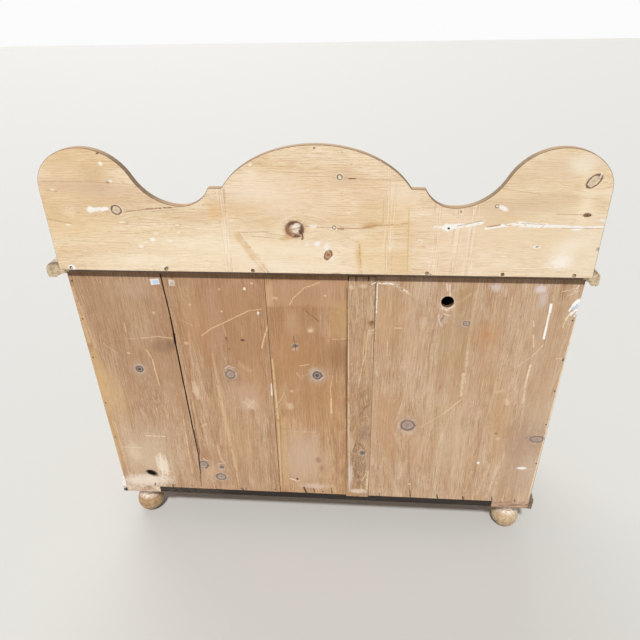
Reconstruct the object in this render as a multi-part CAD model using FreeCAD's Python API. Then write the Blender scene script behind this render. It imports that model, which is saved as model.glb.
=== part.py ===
import FreeCAD, Part
import math
import os

# Low pine dresser base with a shaped gallery, in millimetres.
# The front faces -Y, the back faces +Y, and the feet stand on z = 0.
# Left and right are as seen from the front, so right is +X.
# The origin is the bottom centre of the bounding box.

V = FreeCAD.Vector

# Main sizes of the carcass
carcass_width = 1300.0
carcass_depth = 440.0
carcass_height = 782.0
block_thick = 27.0

# Top and its moulded edge
top_thick = 26.0
overhang_right = 53.0
overhang_left = 32.0
overhang_front = 42.0
thumb_run = 30.0
top_nose = 4.0
moulding_drop = 17.0
moulding_flat_share = 0.3
moulding_nose = 6.0
moulding_root = 4.0

# Gallery, measured up from its lower edge and out from its middle
gallery_thick = 18.0
gallery_lap = 13.0
gallery_foot_reach = 6.0
gallery_wide_reach = 1.0
lobe_out_share = 0.8233
lobe_top = 304.5
lobe_wide_height = 210.5
valley_out_share = 0.4839
valley_height = 170.0
step_out_share = 0.381
step_height = 213.0
arch_top = 310.7
arch_run_share = 0.3687
arch_rise = 171.0
gallery_arris = 1.2

# Board thicknesses
side_thick = 20.0
back_thick = 12.0
bottom_thick = 20.0
partition_thick = 20.0
shelf_thick = 18.0
frame_thick = 22.0
arris = 1.0

# Front frame
stile_width = 45.0
muntin_width = 45.0
bank_width = 460.0
top_rail_height = 40.0
bottom_rail_height = 40.0
drawer_rail_thick = 18.0
tenon_thick = 8.0
tenon_length = 25.0
tenon_shoulder = 4.0

# Back boards, with joint places as shares of half the carcass width
joint_right_outer_share = 0.6077
joint_right_inner_share = 0.2092
strip_near_share = 0.1177
strip_width = 70.0
strip_thick = 15.0
strip_drop = 3.0
board_gap = 0.5
crack_gap = 3.6
crack_wander = 10.0
crack_height_shares = (0.0, 0.03, 0.175, 0.355, 0.74, 0.835, 1.0)
crack_shift_shares = (0.0, 0.0, -0.80, -0.45, 0.10, 0.20, 1.0)
crack_open_shares = (0.10, 0.15, 0.80, 1.0, 1.0, 0.75, 0.55)

# Holes in the back
cable_hole_radius = 16.2
cable_hole_out_share = 0.50246
cable_hole_drop = 68.0
knot_hole_radius = 6.3
knot_hole_length = 12.0
knot_hole_tilt = 31.5
knot_hole_out_share = 0.851
knot_hole_height = 63.0

# Back rails and base
back_rail_height = 40.0
back_rail_thick = 20.0
base_rail_thick = 20.0
base_rail_recess = 3.0
base_block_length = 113.0
base_block_depth = 100.0
plinth_margin = 7.0
plinth_thick = 12.0
plinth_lip = 5.0
plinth_cove = 20.0

# Turned feet
foot_inset = 49.0
ball_radius = 42.5
sole_radius = 20.9
neck_radius = 22.0
neck_length = 5.0
bead_radius = 31.0
bead_height = 16.0
collar_radius = 25.0
cove_height = 12.63
pad_radius = 35.0
pad_height = 9.0
dowel_radius = 12.5
dowel_end_gap = 2.0
dowel_fit = 0.1

# Screws and nails
screw_radius = 2.2
screw_length = 40.0
screw_head_radius = 4.2
screw_head_height = 2.6
screw_sink = 3.0
screw_pocket_radius = 4.6
screw_slot = 1.2
screw_place_shares = (-0.942, -0.685, -0.41, 0.245, 0.582, 0.96)
nail_radius = 1.1
nail_length = 30.0
nail_head_radius = 2.2
nail_head_height = 0.8
nail_fit = 0.1
nail_inset = 7.5
left_nail_shares = (0.217, 0.412, 0.566, 0.698, 0.853)
right_nail_shares = (0.271, 0.445, 0.656, 0.818, 0.965)
low_nail_shares = (-0.824, -0.685, -0.56, -0.43, -0.048, -0.003, 0.081,
                   0.236, 0.382, 0.535, 0.657, 0.745, 0.848)

# Inside fittings
shelf_height = 372.0
shelf_gap = 1.0
bearer_height = 25.0
bearer_thick = 15.0
runner_width = 30.0
runner_gap_back = 5.0
guide_height = 20.0
stop_length = 14.0

# Drawers
drawer_gap = 1.5
drawer_run_gap = 0.3
drawer_front_thick = 20.0
drawer_side_thick = 12.0
drawer_back_space = 43.0
drawer_top_drop = 5.0
drawer_bottom_thick = 7.0
drawer_bottom_raise = 8.0
drawer_groove_depth = 6.0
dovetail_lap = 6.0
dovetail_count = 3
dovetail_slope_share = 0.12
drawer_height_shares = (0.365, 0.333, 0.302)

# Doors
door_gap = 2.0
door_stile_width = 60.0
door_top_width = 60.0
door_bottom_width = 78.0
door_tenon_length = 40.0
panel_groove_depth = 9.0
panel_groove_width = 7.0
panel_thick = 12.0
panel_field_inset = 34.0
panel_play = 1.0

# Butt hinges
hinge_height = 64.0
hinge_leaf_width = 17.0
hinge_leaf_thick = 1.6
hinge_leaf_gap = 1.0
hinge_barrel_radius = 3.2
hinge_pin_radius = 1.5
hinge_pin_fit = 0.05
hinge_clear = 0.5
hinge_joint_gap = 0.3
hinge_knuckles = 5
hinge_inset = 95.0
hinge_tip = 1.5

# Turned knobs and the door latches
knob_length = 31.0
knob_radius = 19.0
knob_face_radius = 7.0
knob_neck_radius = 8.5
knob_base_radius = 12.0
knob_base_height = 4.0
knob_tenon_radius = 6.0
knob_fit = 0.1
knob_place_share = 0.27
spindle_radius = 6.0
spindle_fit = 0.08
spindle_end = 3.0
latch_thick = 10.0
latch_width = 22.0
latch_tail = 13.0
latch_reach_gap = 2.0
latch_gap = 0.3
knob_over_shelf = 65.0

# Sizes and places worked out from the sizes above
thumb_drop = top_thick - top_nose
ball_height = math.sqrt(ball_radius ** 2 - sole_radius ** 2)
neck_height = ball_height + math.sqrt(ball_radius ** 2 - neck_radius ** 2)
foot_height = neck_height + neck_length + bead_height + cove_height + pad_height
dowel_length = block_thick - dowel_end_gap
plinth_height = block_thick + bottom_rail_height - plinth_margin
drawer_length = carcass_depth - back_thick - drawer_back_space
hinge_proud = hinge_barrel_radius + hinge_clear
carcass_half = carcass_width / 2
gallery_foot_half = carcass_half + gallery_foot_reach
gallery_wide_half = carcass_half + gallery_wide_reach
total_depth = overhang_front + carcass_depth + gallery_thick
top_width = overhang_left + carcass_width + overhang_right
mid_x = (overhang_left - overhang_right) / 2
left_x = mid_x - carcass_half
right_x = mid_x + carcass_half
strip_right = mid_x - carcass_half * strip_near_share
front_y = overhang_front - total_depth / 2
back_y = front_y + carcass_depth
frame_back_y = front_y + frame_thick
board_front_y = back_y - back_thick
base_z = foot_height + block_thick
head_z = base_z + carcass_height
top_z = head_z + top_thick
gallery_z = top_z - gallery_lap
block_z = foot_height
floor_top_z = base_z + bottom_thick
opening_low_z = base_z + bottom_rail_height
opening_high_z = head_z - top_rail_height
bank_half = (bank_width - muntin_width) / 2
muntin_outer_half = (bank_width + muntin_width) / 2
door_side_half = carcass_half - stile_width
inner_half = carcass_half - side_thick
partition_in_half = (bank_width - partition_thick) / 2
partition_out_half = (bank_width + partition_thick) / 2
shelf_z = floor_top_z + shelf_height


def box(x0, x1, y0, y1, z0, z1):
    low = V(min(x0, x1), min(y0, y1), min(z0, z1))
    return Part.makeBox(abs(x1 - x0), abs(y1 - y0), abs(z1 - z0), low)


def board(x0, x1, y0, y1, z0, z1, ease=None):
    """A planed board with its arrises taken off."""
    ease = arris if ease is None else ease
    body = box(x0, x1, y0, y1, z0, z1)
    return body.makeChamfer(ease, body.Edges)


def cylinder(radius, length, base, axis):
    return Part.makeCylinder(radius, length, base, axis)


def prism(points, run):
    """A straight-sided solid: points in one plane, pushed along run."""
    wire = Part.makePolygon(list(points) + [points[0]])
    return Part.Face(wire).extrude(run)


def bow(start, middle, end):
    return Part.Arc(start, middle, end).toShape()


def straight(start, end):
    return Part.LineSegment(start, end).toShape()


def round_arcs(place, run, rise, angle_from, angle_to, spans):
    """Arcs that follow an ellipse of half width run and half height rise."""
    step = (angle_to - angle_from) / spans

    def at(angle):
        return place(run * math.cos(angle), rise * math.sin(angle))

    arcs = []
    for index in range(spans):
        first = angle_from + step * index
        arcs.append(bow(at(first), at(first + step / 2), at(first + step)))
    return arcs


def face_of(edges):
    return Part.Face(Part.Wire(Part.__sortEdges__(edges)))


def turned(edges, base, axis):
    """A turning from edges in the XZ plane, set on base with its centre line along axis."""
    solid = face_of(edges).revolve(V(0, 0, 0), V(0, 0, 1), 360)
    solid = Part.Solid(solid) if solid.ShapeType == "Shell" else solid
    solid.Placement = FreeCAD.Placement(base, FreeCAD.Rotation(V(0, 0, 1), axis))
    return solid


def group(solids):
    return Part.makeCompound(solids)


def mirrored(shape):
    """The same piece on the other side of the carcass middle."""
    return shape.mirror(V(mid_x, 0, 0), V(1, 0, 0))


def both_sides(shape):
    return [mirrored(shape), shape]


# Top

def thumb_section(corner, out):
    """Section of the top's moulded edge: corner is the square edge, out points outwards."""
    up = V(0, 0, 1)
    centre = corner - out * thumb_run - up * thumb_drop
    return round_arcs(lambda a, b: centre + out * a + up * b, thumb_run, thumb_drop, 0, math.pi / 2, 3)


def make_top():
    ends_x = (-top_width / 2, top_width / 2)
    nose_y = -total_depth / 2
    long_edges = thumb_section(V(ends_x[0], nose_y, top_z), V(0, -1, 0))
    long_edges += [
        straight(V(ends_x[0], nose_y + thumb_run, top_z), V(ends_x[0], back_y, top_z)),
        straight(V(ends_x[0], back_y, top_z), V(ends_x[0], back_y, head_z)),
        straight(V(ends_x[0], back_y, head_z), V(ends_x[0], nose_y, head_z)),
        straight(V(ends_x[0], nose_y, head_z), V(ends_x[0], nose_y, top_z - thumb_drop)),
    ]
    lengthways = face_of(long_edges).extrude(V(top_width, 0, 0))
    end_edges = thumb_section(V(ends_x[0], nose_y, top_z), V(-1, 0, 0))
    end_edges += thumb_section(V(ends_x[1], nose_y, top_z), V(1, 0, 0))
    end_edges += [
        straight(V(ends_x[0] + thumb_run, nose_y, top_z), V(ends_x[1] - thumb_run, nose_y, top_z)),
        straight(V(ends_x[1], nose_y, top_z - thumb_drop), V(ends_x[1], nose_y, head_z)),
        straight(V(ends_x[1], nose_y, head_z), V(ends_x[0], nose_y, head_z)),
        straight(V(ends_x[0], nose_y, head_z), V(ends_x[0], nose_y, top_z - thumb_drop)),
    ]
    endways = face_of(end_edges).extrude(V(0, back_y - nose_y, 0))
    return lengthways.common(endways).cut(group(gallery_screw_holes()))


def moulding_section(root, out, width):
    """Section of the moulding under the overhang: root is the carcass face at the top's underside."""
    up = V(0, 0, 1)
    nose = root + out * width
    low = nose - up * moulding_drop
    corner = low - out * moulding_nose + up * moulding_nose
    turn = moulding_nose * math.sqrt(2) / 2
    flat_end = low - out * (moulding_nose + width * moulding_flat_share)
    root_low = root - up * moulding_root
    hollow = (flat_end + root_low) * 0.5 + up * moulding_root / 2 + out * moulding_root / 3
    return [
        straight(root, nose),
        straight(nose, low + up * moulding_nose),
        bow(low + up * moulding_nose, corner + out * turn - up * turn, low - out * moulding_nose),
        straight(low - out * moulding_nose, flat_end),
        bow(flat_end, hollow, root_low),
        straight(root_low, root),
    ]


def make_top_moulding():
    nose_y = front_y - overhang_front
    front_root = V(left_x - overhang_left, front_y, head_z)
    front = face_of(moulding_section(front_root, V(0, -1, 0), overhang_front))
    front = front.extrude(V(top_width, 0, 0))
    pieces = []
    ends = ((left_x, V(-1, 0, 0), overhang_left), (right_x, V(1, 0, 0), overhang_right))
    for side_x, out, overhang in ends:
        end = face_of(moulding_section(V(side_x, nose_y, head_z), out, overhang))
        end = end.extrude(V(0, back_y - nose_y, 0))
        corner = V(side_x + out.x * overhang, nose_y, head_z)
        low = V(0, 0, -moulding_drop)
        wedge = prism([corner, V(side_x, front_y, head_z), V(side_x, nose_y, head_z)], low)
        front = front.cut(prism([corner, V(side_x, front_y, head_z), V(corner.x, front_y, head_z)], low))
        pieces.append(end.cut(wedge))
    return group([front] + pieces)


# Gallery

def gallery_edges():
    """The gallery's outline in the plane of its front face."""
    def at(out, up, sign=1):
        return V(mid_x + sign * out, back_y, gallery_z + up)

    lobe_out = gallery_wide_half * lobe_out_share
    valley_out = gallery_wide_half * valley_out_share
    step_out = gallery_wide_half * step_out_share
    arch_run = gallery_wide_half * arch_run_share
    step_in = arch_run * math.sqrt(1 - ((step_height - arch_top + arch_rise) / arch_rise) ** 2)
    fall = lobe_top - valley_height
    run = lobe_out - valley_out
    sweep = (run ** 2 + fall ** 2) / (4 * fall)
    half_turn = math.atan(fall / run)
    half_way = (run / 2, fall / 2)
    bend = (sweep * math.sin(half_turn), sweep * (1 - math.cos(half_turn)))
    rise = step_height - valley_height
    reach = valley_out - step_out
    curl = (reach ** 2 + rise ** 2) / (2 * rise)
    curl_turn = math.atan(rise / reach)
    arch_angle = math.acos(step_in / arch_run)
    arch_centre = arch_top - arch_rise
    edges = [straight(at(gallery_foot_half, 0, -1), at(gallery_foot_half, 0))]
    edges += round_arcs(lambda a, b: at(a, arch_centre + b), arch_run, arch_rise,
                        arch_angle, math.pi - arch_angle, 6)
    for sign in (-1, 1):
        edges.append(straight(at(gallery_foot_half, 0, sign),
                              at(gallery_wide_half, lobe_wide_height, sign)))
        edges += round_arcs(lambda a, b: at(lobe_out + a, lobe_wide_height + b, sign),
                            gallery_wide_half - lobe_out, lobe_top - lobe_wide_height, 0, math.pi / 2, 3)
        middle = at(lobe_out - half_way[0], lobe_top - half_way[1], sign)
        edges.append(bow(at(lobe_out, lobe_top, sign),
                         at(lobe_out - bend[0], lobe_top - bend[1], sign), middle))
        edges.append(bow(middle, at(valley_out + bend[0], valley_height + bend[1], sign),
                         at(valley_out, valley_height, sign)))
        curl_at = (curl * math.sin(curl_turn), curl * (1 - math.cos(curl_turn)))
        edges.append(bow(at(valley_out, valley_height, sign),
                         at(valley_out - curl_at[0], valley_height + curl_at[1], sign),
                         at(step_out, step_height, sign)))
        edges.append(straight(at(step_out, step_height, sign), at(step_in, step_height, sign)))
    return edges


def screw_places():
    z = gallery_z + gallery_lap / 2
    return [V(mid_x + share * carcass_half, back_y + gallery_thick, z) for share in screw_place_shares]


def gallery_screw_holes():
    """Sunk pocket and shank hole of each screw."""
    holes = []
    inward = V(0, -1, 0)
    pocket = screw_sink + screw_head_height
    for place in screw_places():
        holes.append(cylinder(screw_pocket_radius, pocket, place, inward))
        holes.append(cylinder(screw_radius + nail_fit, screw_sink + screw_length + nail_fit, place, inward))
    return holes


def make_gallery():
    plate = face_of(gallery_edges()).extrude(V(0, gallery_thick, 0))
    rims = [edge for edge in plate.Edges if abs(edge.BoundBox.YLength) < gallery_arris / 2]
    plate = plate.makeChamfer(gallery_arris, rims)
    return plate.cut(group(gallery_screw_holes()))


def make_gallery_screws():
    screws = []
    inward = V(0, -1, 0)
    for place in screw_places():
        seat = place + inward * screw_sink
        head = cylinder(screw_head_radius, screw_head_height, seat, inward)
        shank = cylinder(screw_radius, screw_length, seat, inward)
        slot = box(seat.x - screw_head_radius, seat.x + screw_head_radius, seat.y, seat.y - screw_slot,
                   seat.z - screw_slot / 2, seat.z + screw_slot / 2)
        screws.append(head.fuse(shank).cut(slot).removeSplitter())
    return group(screws)


# Carcass

def make_side():
    """The right side panel."""
    inner = mid_x + inner_half
    return board(inner, right_x, frame_back_y, board_front_y, base_z, head_z)


def make_bottom():
    return box(mid_x - inner_half, mid_x + inner_half, frame_back_y, board_front_y, base_z, floor_top_z)


def back_rail_box():
    return box(mid_x - inner_half, mid_x + inner_half, board_front_y - back_rail_thick, board_front_y,
               head_z - back_rail_height, head_z)


def make_partitions():
    panel = box(mid_x + partition_in_half, mid_x + partition_out_half,
                frame_back_y, board_front_y, floor_top_z, head_z)
    return group(both_sides(panel.cut(back_rail_box())))


# Back boards

def crack_line(side):
    """The wandering split between the two right-hand boards.

    Side is -1 for its inner edge and 1 for its outer edge.
    """
    points = []
    joint_x = mid_x + carcass_half * joint_right_outer_share
    for height, shift, opening in zip(crack_height_shares, crack_shift_shares, crack_open_shares):
        x = joint_x + crack_wander * shift + side * crack_gap * opening / 2
        points.append(V(x, board_front_y, base_z + carcass_height * height))
    return points


def make_back_boards():
    """The flat boards: their names run from the right end to the left."""
    inner_x = mid_x + carcass_half * joint_right_inner_share
    strip_left = strip_right - strip_width
    end = crack_line(1) + [V(right_x, board_front_y, head_z), V(right_x, board_front_y, base_z)]
    near = [V(inner_x + board_gap, board_front_y, base_z)] + crack_line(-1)
    near += [V(inner_x + board_gap, board_front_y, head_z)]
    thick = V(0, back_thick, 0)
    tilt = math.radians(knot_hole_tilt)
    hole = V(mid_x + carcass_half * knot_hole_out_share, board_front_y, base_z + knot_hole_height)
    along = V(math.cos(tilt), 0, math.sin(tilt)) * (knot_hole_length / 2)
    across = V(-math.sin(tilt), 0, math.cos(tilt)) * knot_hole_radius
    slot = prism([hole - along - across, hole + along - across,
                  hole + along + across, hole - along + across], thick)
    for end_point in (hole - along, hole + along):
        slot = slot.fuse(cylinder(knot_hole_radius, back_thick, end_point, V(0, 1, 0)))
    cable_base = V(mid_x - carcass_half * cable_hole_out_share, board_front_y, head_z - cable_hole_drop)
    cable = cylinder(cable_hole_radius, back_thick, cable_base, V(0, 1, 0))
    middle = board(strip_right + board_gap, inner_x - board_gap, board_front_y, back_y, base_z, head_z)
    left = board(left_x, strip_left - board_gap, board_front_y, back_y, base_z, head_z)
    return {
        "back_board_right_end": prism(end, thick).cut(slot),
        "back_board_right_middle": prism(near, thick),
        "back_board_middle": middle,
        "back_board_left": left.cut(cable),
    }


def make_cover_strip():
    """The strip fills the space between two boards, stands a little proud of them and laps the rail below."""
    left = strip_right - strip_width
    strip = board(left, strip_right, board_front_y, board_front_y + strip_thick,
                  base_z - strip_drop, head_z)
    lap = box(left, strip_right, board_front_y, back_y - base_rail_recess, base_z - strip_drop, base_z)
    return strip.cut(lap)


def nail_places():
    """Nails along both upright edges and along the lower edge."""
    places = []
    for x, shares in ((left_x + nail_inset, left_nail_shares), (right_x - nail_inset, right_nail_shares)):
        places += [V(x, back_y, base_z + carcass_height * share) for share in shares]
    for share in low_nail_shares:
        places.append(V(mid_x + share * carcass_half, back_y, base_z + bottom_thick / 2))
    return places


def nails(fit):
    solids = []
    inward = V(0, -1, 0)
    for place in nail_places():
        head = cylinder(nail_head_radius + fit, nail_head_height + fit, place, inward)
        shank = cylinder(nail_radius + fit, nail_length + fit, place, inward)
        solids.append(head.fuse(shank).removeSplitter())
    return solids


# Front frame

def tenon(x0, x1, z0, z1):
    """A tenon in the middle of the frame's thickness."""
    y0 = front_y + (frame_thick - tenon_thick) / 2
    return box(x0, x1, y0, y0 + tenon_thick, z0, z1)


def frame_rail(half, z0, z1):
    """A rail between uprights that are half apart from the middle, with a tenon at each end."""
    body = board(mid_x - half, mid_x + half, front_y, frame_back_y, z0, z1)
    ends = [tenon(mid_x + sign * (half - tenon_shoulder), mid_x + sign * (half + tenon_length),
                  z0 + tenon_shoulder, z1 - tenon_shoulder) for sign in (-1, 1)]
    return body.fuse(ends).removeSplitter(), ends


def make_front_frame():
    top_rail, top_tenons = frame_rail(door_side_half, opening_high_z, head_z)
    bottom_rail, bottom_tenons = frame_rail(door_side_half, base_z, opening_low_z)
    stile = board(mid_x + door_side_half, right_x, front_y, frame_back_y, base_z, head_z)
    stile = stile.cut(hinge_recesses("frame"))
    stiles = [solid.cut(top_tenons + bottom_tenons) for solid in both_sides(stile)]
    upright = board(mid_x + bank_half, mid_x + muntin_outer_half, front_y, frame_back_y,
                    opening_low_z, opening_high_z)
    foot = [tenon(mid_x + bank_half + tenon_shoulder, mid_x + muntin_outer_half - tenon_shoulder,
                  opening_low_z - tenon_length, opening_low_z + tenon_shoulder),
            tenon(mid_x + bank_half + tenon_shoulder, mid_x + muntin_outer_half - tenon_shoulder,
                  opening_high_z - tenon_shoulder, opening_high_z + tenon_length)]
    rails, rail_tenons = [], []
    for z in drawer_rail_levels():
        rail, ends = frame_rail(bank_half, z, z + drawer_rail_thick)
        rails.append(rail)
        rail_tenons += ends
    muntins = [solid.cut(rail_tenons) for solid in both_sides(upright.fuse(foot).removeSplitter())]
    return {
        "front_stiles": group(stiles),
        "front_muntins": group(muntins),
        "front_rail_top": top_rail.cut(muntins),
        "front_rail_bottom": bottom_rail.cut(muntins),
        "drawer_rails": group(rails),
    }


def drawer_openings():
    """Lowest first: the lower and upper edge of each drawer's opening."""
    free = opening_high_z - opening_low_z - drawer_rail_thick * (len(drawer_height_shares) - 1)
    openings = []
    z = opening_low_z
    for share in drawer_height_shares:
        openings.append((z, z + free * share))
        z += free * share + drawer_rail_thick
    return openings


def drawer_rail_levels():
    return [high for low, high in drawer_openings()[:-1]]


# Inside fittings

def make_runners():
    """Runners, the guides on them and the stops behind the drawers, with kickers over the top drawer."""
    pieces = []
    wall = mid_x + partition_in_half
    back = board_front_y - back_rail_thick - runner_gap_back
    stop_y = front_y + drawer_length + drawer_gap
    levels = [low for low, high in drawer_openings()]
    for z in levels:
        thick = bottom_rail_height - bottom_thick if z == levels[0] else drawer_rail_thick
        pieces.append(box(wall - runner_width, wall, frame_back_y, back, z - thick, z))
        guide_x = mid_x + bank_half
        guide_top = z + guide_height
        pieces.append(box(guide_x, wall, frame_back_y, back, z, guide_top))
        pieces.append(box(guide_x - runner_width / 2, guide_x, stop_y, stop_y + stop_length, z, guide_top))
    kicker_top = opening_high_z + drawer_rail_thick
    pieces.append(box(wall - runner_width, wall, frame_back_y, back, opening_high_z, kicker_top))
    return group([copy for piece in pieces for copy in both_sides(piece)])


def make_shelves():
    x0 = mid_x + partition_out_half
    x1 = mid_x + inner_half
    front = frame_back_y + latch_gap
    shelf = board(x0 + shelf_gap, x1 - shelf_gap, front, board_front_y - shelf_gap,
                  shelf_z, shelf_z + shelf_thick)
    bearers = []
    for a, b in ((x0, x0 + bearer_thick), (x1 - bearer_thick, x1)):
        bearer = board(a, b, front + bearer_height, board_front_y - back_rail_thick,
                       shelf_z - bearer_height, shelf_z)
        bearers += both_sides(bearer)
    return group(both_sides(shelf)), group(bearers)


# Base

def block_boxes():
    """Left front, right front, left back, right back."""
    blocks = []
    for y0, y1 in ((front_y, front_y + base_block_depth), (back_y - base_block_depth, back_y)):
        block = board(right_x - base_block_length, right_x, y0, y1, block_z, base_z)
        blocks += both_sides(block)
    return blocks


def foot_places():
    places = {}
    for depth, y in (("front", front_y + foot_inset), ("back", back_y - foot_inset)):
        for side, x in (("left", left_x + foot_inset), ("right", right_x - foot_inset)):
            places["foot_" + depth + "_" + side] = V(x, y, 0)
    return places


def foot_solid(place):
    """One turned foot, from its flat sole to the dowel that enters the block."""
    def p(r, z):
        return V(r, 0, z)

    bead_z = neck_height + neck_length
    collar_z = bead_z + bead_height
    pad_z = foot_height - pad_height
    cove_mid = p((collar_radius + pad_radius) / 2 - neck_length / 3, (collar_z + pad_z) / 2 + neck_length / 4)
    edges = [
        straight(p(0, 0), p(sole_radius, 0)),
        bow(p(sole_radius, 0), p(ball_radius, ball_height), p(neck_radius, neck_height)),
        straight(p(neck_radius, neck_height), p(neck_radius, bead_z)),
        bow(p(neck_radius, bead_z), p(bead_radius, bead_z + bead_height / 2), p(collar_radius, collar_z)),
        bow(p(collar_radius, collar_z), cove_mid, p(pad_radius, pad_z)),
        straight(p(pad_radius, pad_z), p(pad_radius, foot_height)),
        straight(p(pad_radius, foot_height), p(dowel_radius, foot_height)),
        straight(p(dowel_radius, foot_height), p(dowel_radius, foot_height + dowel_length)),
        straight(p(dowel_radius, foot_height + dowel_length), p(0, foot_height + dowel_length)),
        straight(p(0, foot_height + dowel_length), p(0, 0)),
    ]
    return turned(edges, place, V(0, 0, 1))


def make_base_blocks():
    sockets = [cylinder(dowel_radius + dowel_fit, block_thick, V(place.x, place.y, block_z), V(0, 0, 1))
               for place in foot_places().values()]
    return group([block.cut(sockets) for block in block_boxes()])


def make_base_rail():
    y1 = back_y - base_rail_recess
    return board(left_x + base_block_length, right_x - base_block_length,
                 y1 - base_rail_thick, y1, block_z, base_z)


def plinth_section(root, out):
    """Section of the plinth moulding: root is the carcass face at the plinth's lower edge."""
    up = V(0, 0, 1)
    shoulder = root + out * plinth_thick + up * (plinth_height - plinth_cove)
    lip = root + out * plinth_lip + up * plinth_height
    hollow_out = plinth_lip + (plinth_thick - plinth_lip) / 3
    hollow = root + out * hollow_out + up * (plinth_height - plinth_cove * 2 / 3)
    return [
        straight(root, root + out * plinth_thick),
        straight(root + out * plinth_thick, shoulder),
        bow(shoulder, hollow, lip),
        straight(lip, root + up * plinth_height),
        straight(root + up * plinth_height, root),
    ]


def make_plinth():
    nose_y = front_y - plinth_thick
    front = face_of(plinth_section(V(left_x - plinth_thick, front_y, block_z), V(0, -1, 0)))
    front = front.extrude(V(carcass_width + plinth_thick * 2, 0, 0))
    pieces = []
    up = V(0, 0, plinth_height)
    for side_x, out in ((left_x, V(-1, 0, 0)), (right_x, V(1, 0, 0))):
        end = face_of(plinth_section(V(side_x, nose_y, block_z), out)).extrude(V(0, back_y - nose_y, 0))
        corner = V(side_x + out.x * plinth_thick, nose_y, block_z)
        heel = V(side_x, front_y, block_z)
        pieces.append(end.cut(prism([corner, heel, V(side_x, nose_y, block_z)], up)))
        front = front.cut(prism([corner, heel, V(corner.x, front_y, block_z)], up))
    return group([front] + pieces)


# Knobs

def knob_edges(tenon_radius, tenon_length_below):
    """A turned knob that stands on z = 0, with its tenon or spindle below."""
    def p(r, z):
        return V(r, 0, z)

    neck_z = knob_base_height + (knob_length - knob_base_height) / 3
    widest_z = knob_length * 2 / 3
    return [
        straight(p(0, -tenon_length_below), p(tenon_radius, -tenon_length_below)),
        straight(p(tenon_radius, -tenon_length_below), p(tenon_radius, 0)),
        straight(p(tenon_radius, 0), p(knob_base_radius, 0)),
        straight(p(knob_base_radius, 0), p(knob_base_radius, knob_base_height)),
        bow(p(knob_base_radius, knob_base_height), p(knob_neck_radius, (knob_base_height + neck_z) / 2),
            p(knob_neck_radius + knob_base_height / 2, neck_z)),
        bow(p(knob_neck_radius + knob_base_height / 2, neck_z),
            p(knob_radius - knob_base_height / 2, (neck_z + widest_z) / 2), p(knob_radius, widest_z)),
        bow(p(knob_radius, widest_z),
            p((knob_radius * 3 + knob_face_radius) / 4, (widest_z + knob_length * 2) / 3),
            p(knob_face_radius, knob_length)),
        straight(p(knob_face_radius, knob_length), p(0, knob_length)),
        straight(p(0, knob_length), p(0, -tenon_length_below)),
    ]


# Drawers

def tails(x0, x1, shoulder_y, end_y, z0, z1):
    """Dovetails that widen from the shoulder to the end, evenly spaced between z0 and z1."""
    pitch = (z1 - z0) / dovetail_count
    flare = abs(end_y - shoulder_y) * dovetail_slope_share
    solids = []
    for index in range(dovetail_count):
        middle = z0 + pitch * (index + 1 / 2)
        narrow = pitch / 4
        wide = narrow + flare
        points = [V(x0, shoulder_y, middle - narrow), V(x0, end_y, middle - wide),
                  V(x0, end_y, middle + wide), V(x0, shoulder_y, middle + narrow)]
        solids.append(prism(points, V(x1 - x0, 0, 0)))
    return solids


def make_drawer(low, high):
    """One drawer for an opening from low to high: front, sides, back, bottom and knobs."""
    half = bank_half - drawer_gap
    z0 = low + drawer_run_gap
    z1 = high - drawer_gap
    front_back_y = front_y + drawer_front_thick
    end_y = front_y + drawer_length
    lap_y = front_y + dovetail_lap
    back_shoulder_y = end_y - drawer_side_thick
    side_top = z1 - drawer_top_drop
    inner = mid_x + half - drawer_side_thick
    outer = mid_x + half
    groove_low = z0 + drawer_bottom_raise
    groove_high = groove_low + drawer_bottom_thick
    bottom = box(mid_x - half + drawer_side_thick - drawer_groove_depth, inner + drawer_groove_depth,
                 front_back_y - drawer_groove_depth, end_y, groove_low, groove_high)
    tail_low = groove_high + arris
    front_tails = tails(inner, outer, front_back_y, lap_y, tail_low, side_top)
    back_tails = tails(inner, outer, back_shoulder_y, end_y, tail_low, side_top - drawer_top_drop)
    side = box(inner, outer, front_back_y, back_shoulder_y, z0, side_top)
    side = side.fuse(front_tails + back_tails).removeSplitter().cut(bottom)
    sides = both_sides(side)
    front = board(mid_x - half, mid_x + half, front_y, front_back_y, z0, z1)
    back = box(mid_x - half, mid_x + half, back_shoulder_y, end_y, groove_high, side_top - drawer_top_drop)
    knob_z = (z0 + z1) / 2
    knobs = []
    holes = []
    for sign in (-1, 1):
        seat = V(mid_x + sign * half * 2 * knob_place_share, front_y, knob_z)
        knobs.append(turned(knob_edges(knob_tenon_radius, drawer_front_thick), seat, V(0, -1, 0)))
        holes.append(cylinder(knob_tenon_radius + knob_fit, drawer_front_thick, seat, V(0, 1, 0)))
    return {
        "front": front.cut(sides + holes + [bottom]),
        "sides": group(sides),
        "back": back.cut(sides),
        "bottom": bottom,
        "knobs": group(knobs),
    }


# Hinges

def hinge_levels():
    low = opening_low_z + door_gap
    high = opening_high_z - door_gap
    return [low + hinge_inset, high - hinge_inset - hinge_height]


def hinge_axis():
    """Axis of the right-hand door's hinges, midway in the gap and proud of the front."""
    return V(mid_x + door_side_half - door_gap / 2, front_y - hinge_proud, 0)


def leaf_box(side, z, spare):
    """The flat of one leaf: side is 1 on the frame and -1 on the door."""
    axis = hinge_axis()
    near = axis.x + side * hinge_leaf_gap / 2
    far = near + side * hinge_leaf_thick
    return box(near, far, front_y, front_y + hinge_leaf_width + spare, z - spare, z + hinge_height + spare)


def hinge_recesses(part):
    """Recesses for the leaves, on both doors or on both stiles."""
    side = 1 if part == "frame" else -1
    solids = []
    for z in hinge_levels():
        solids += both_sides(leaf_box(side, z, 0))
    return solids


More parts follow.
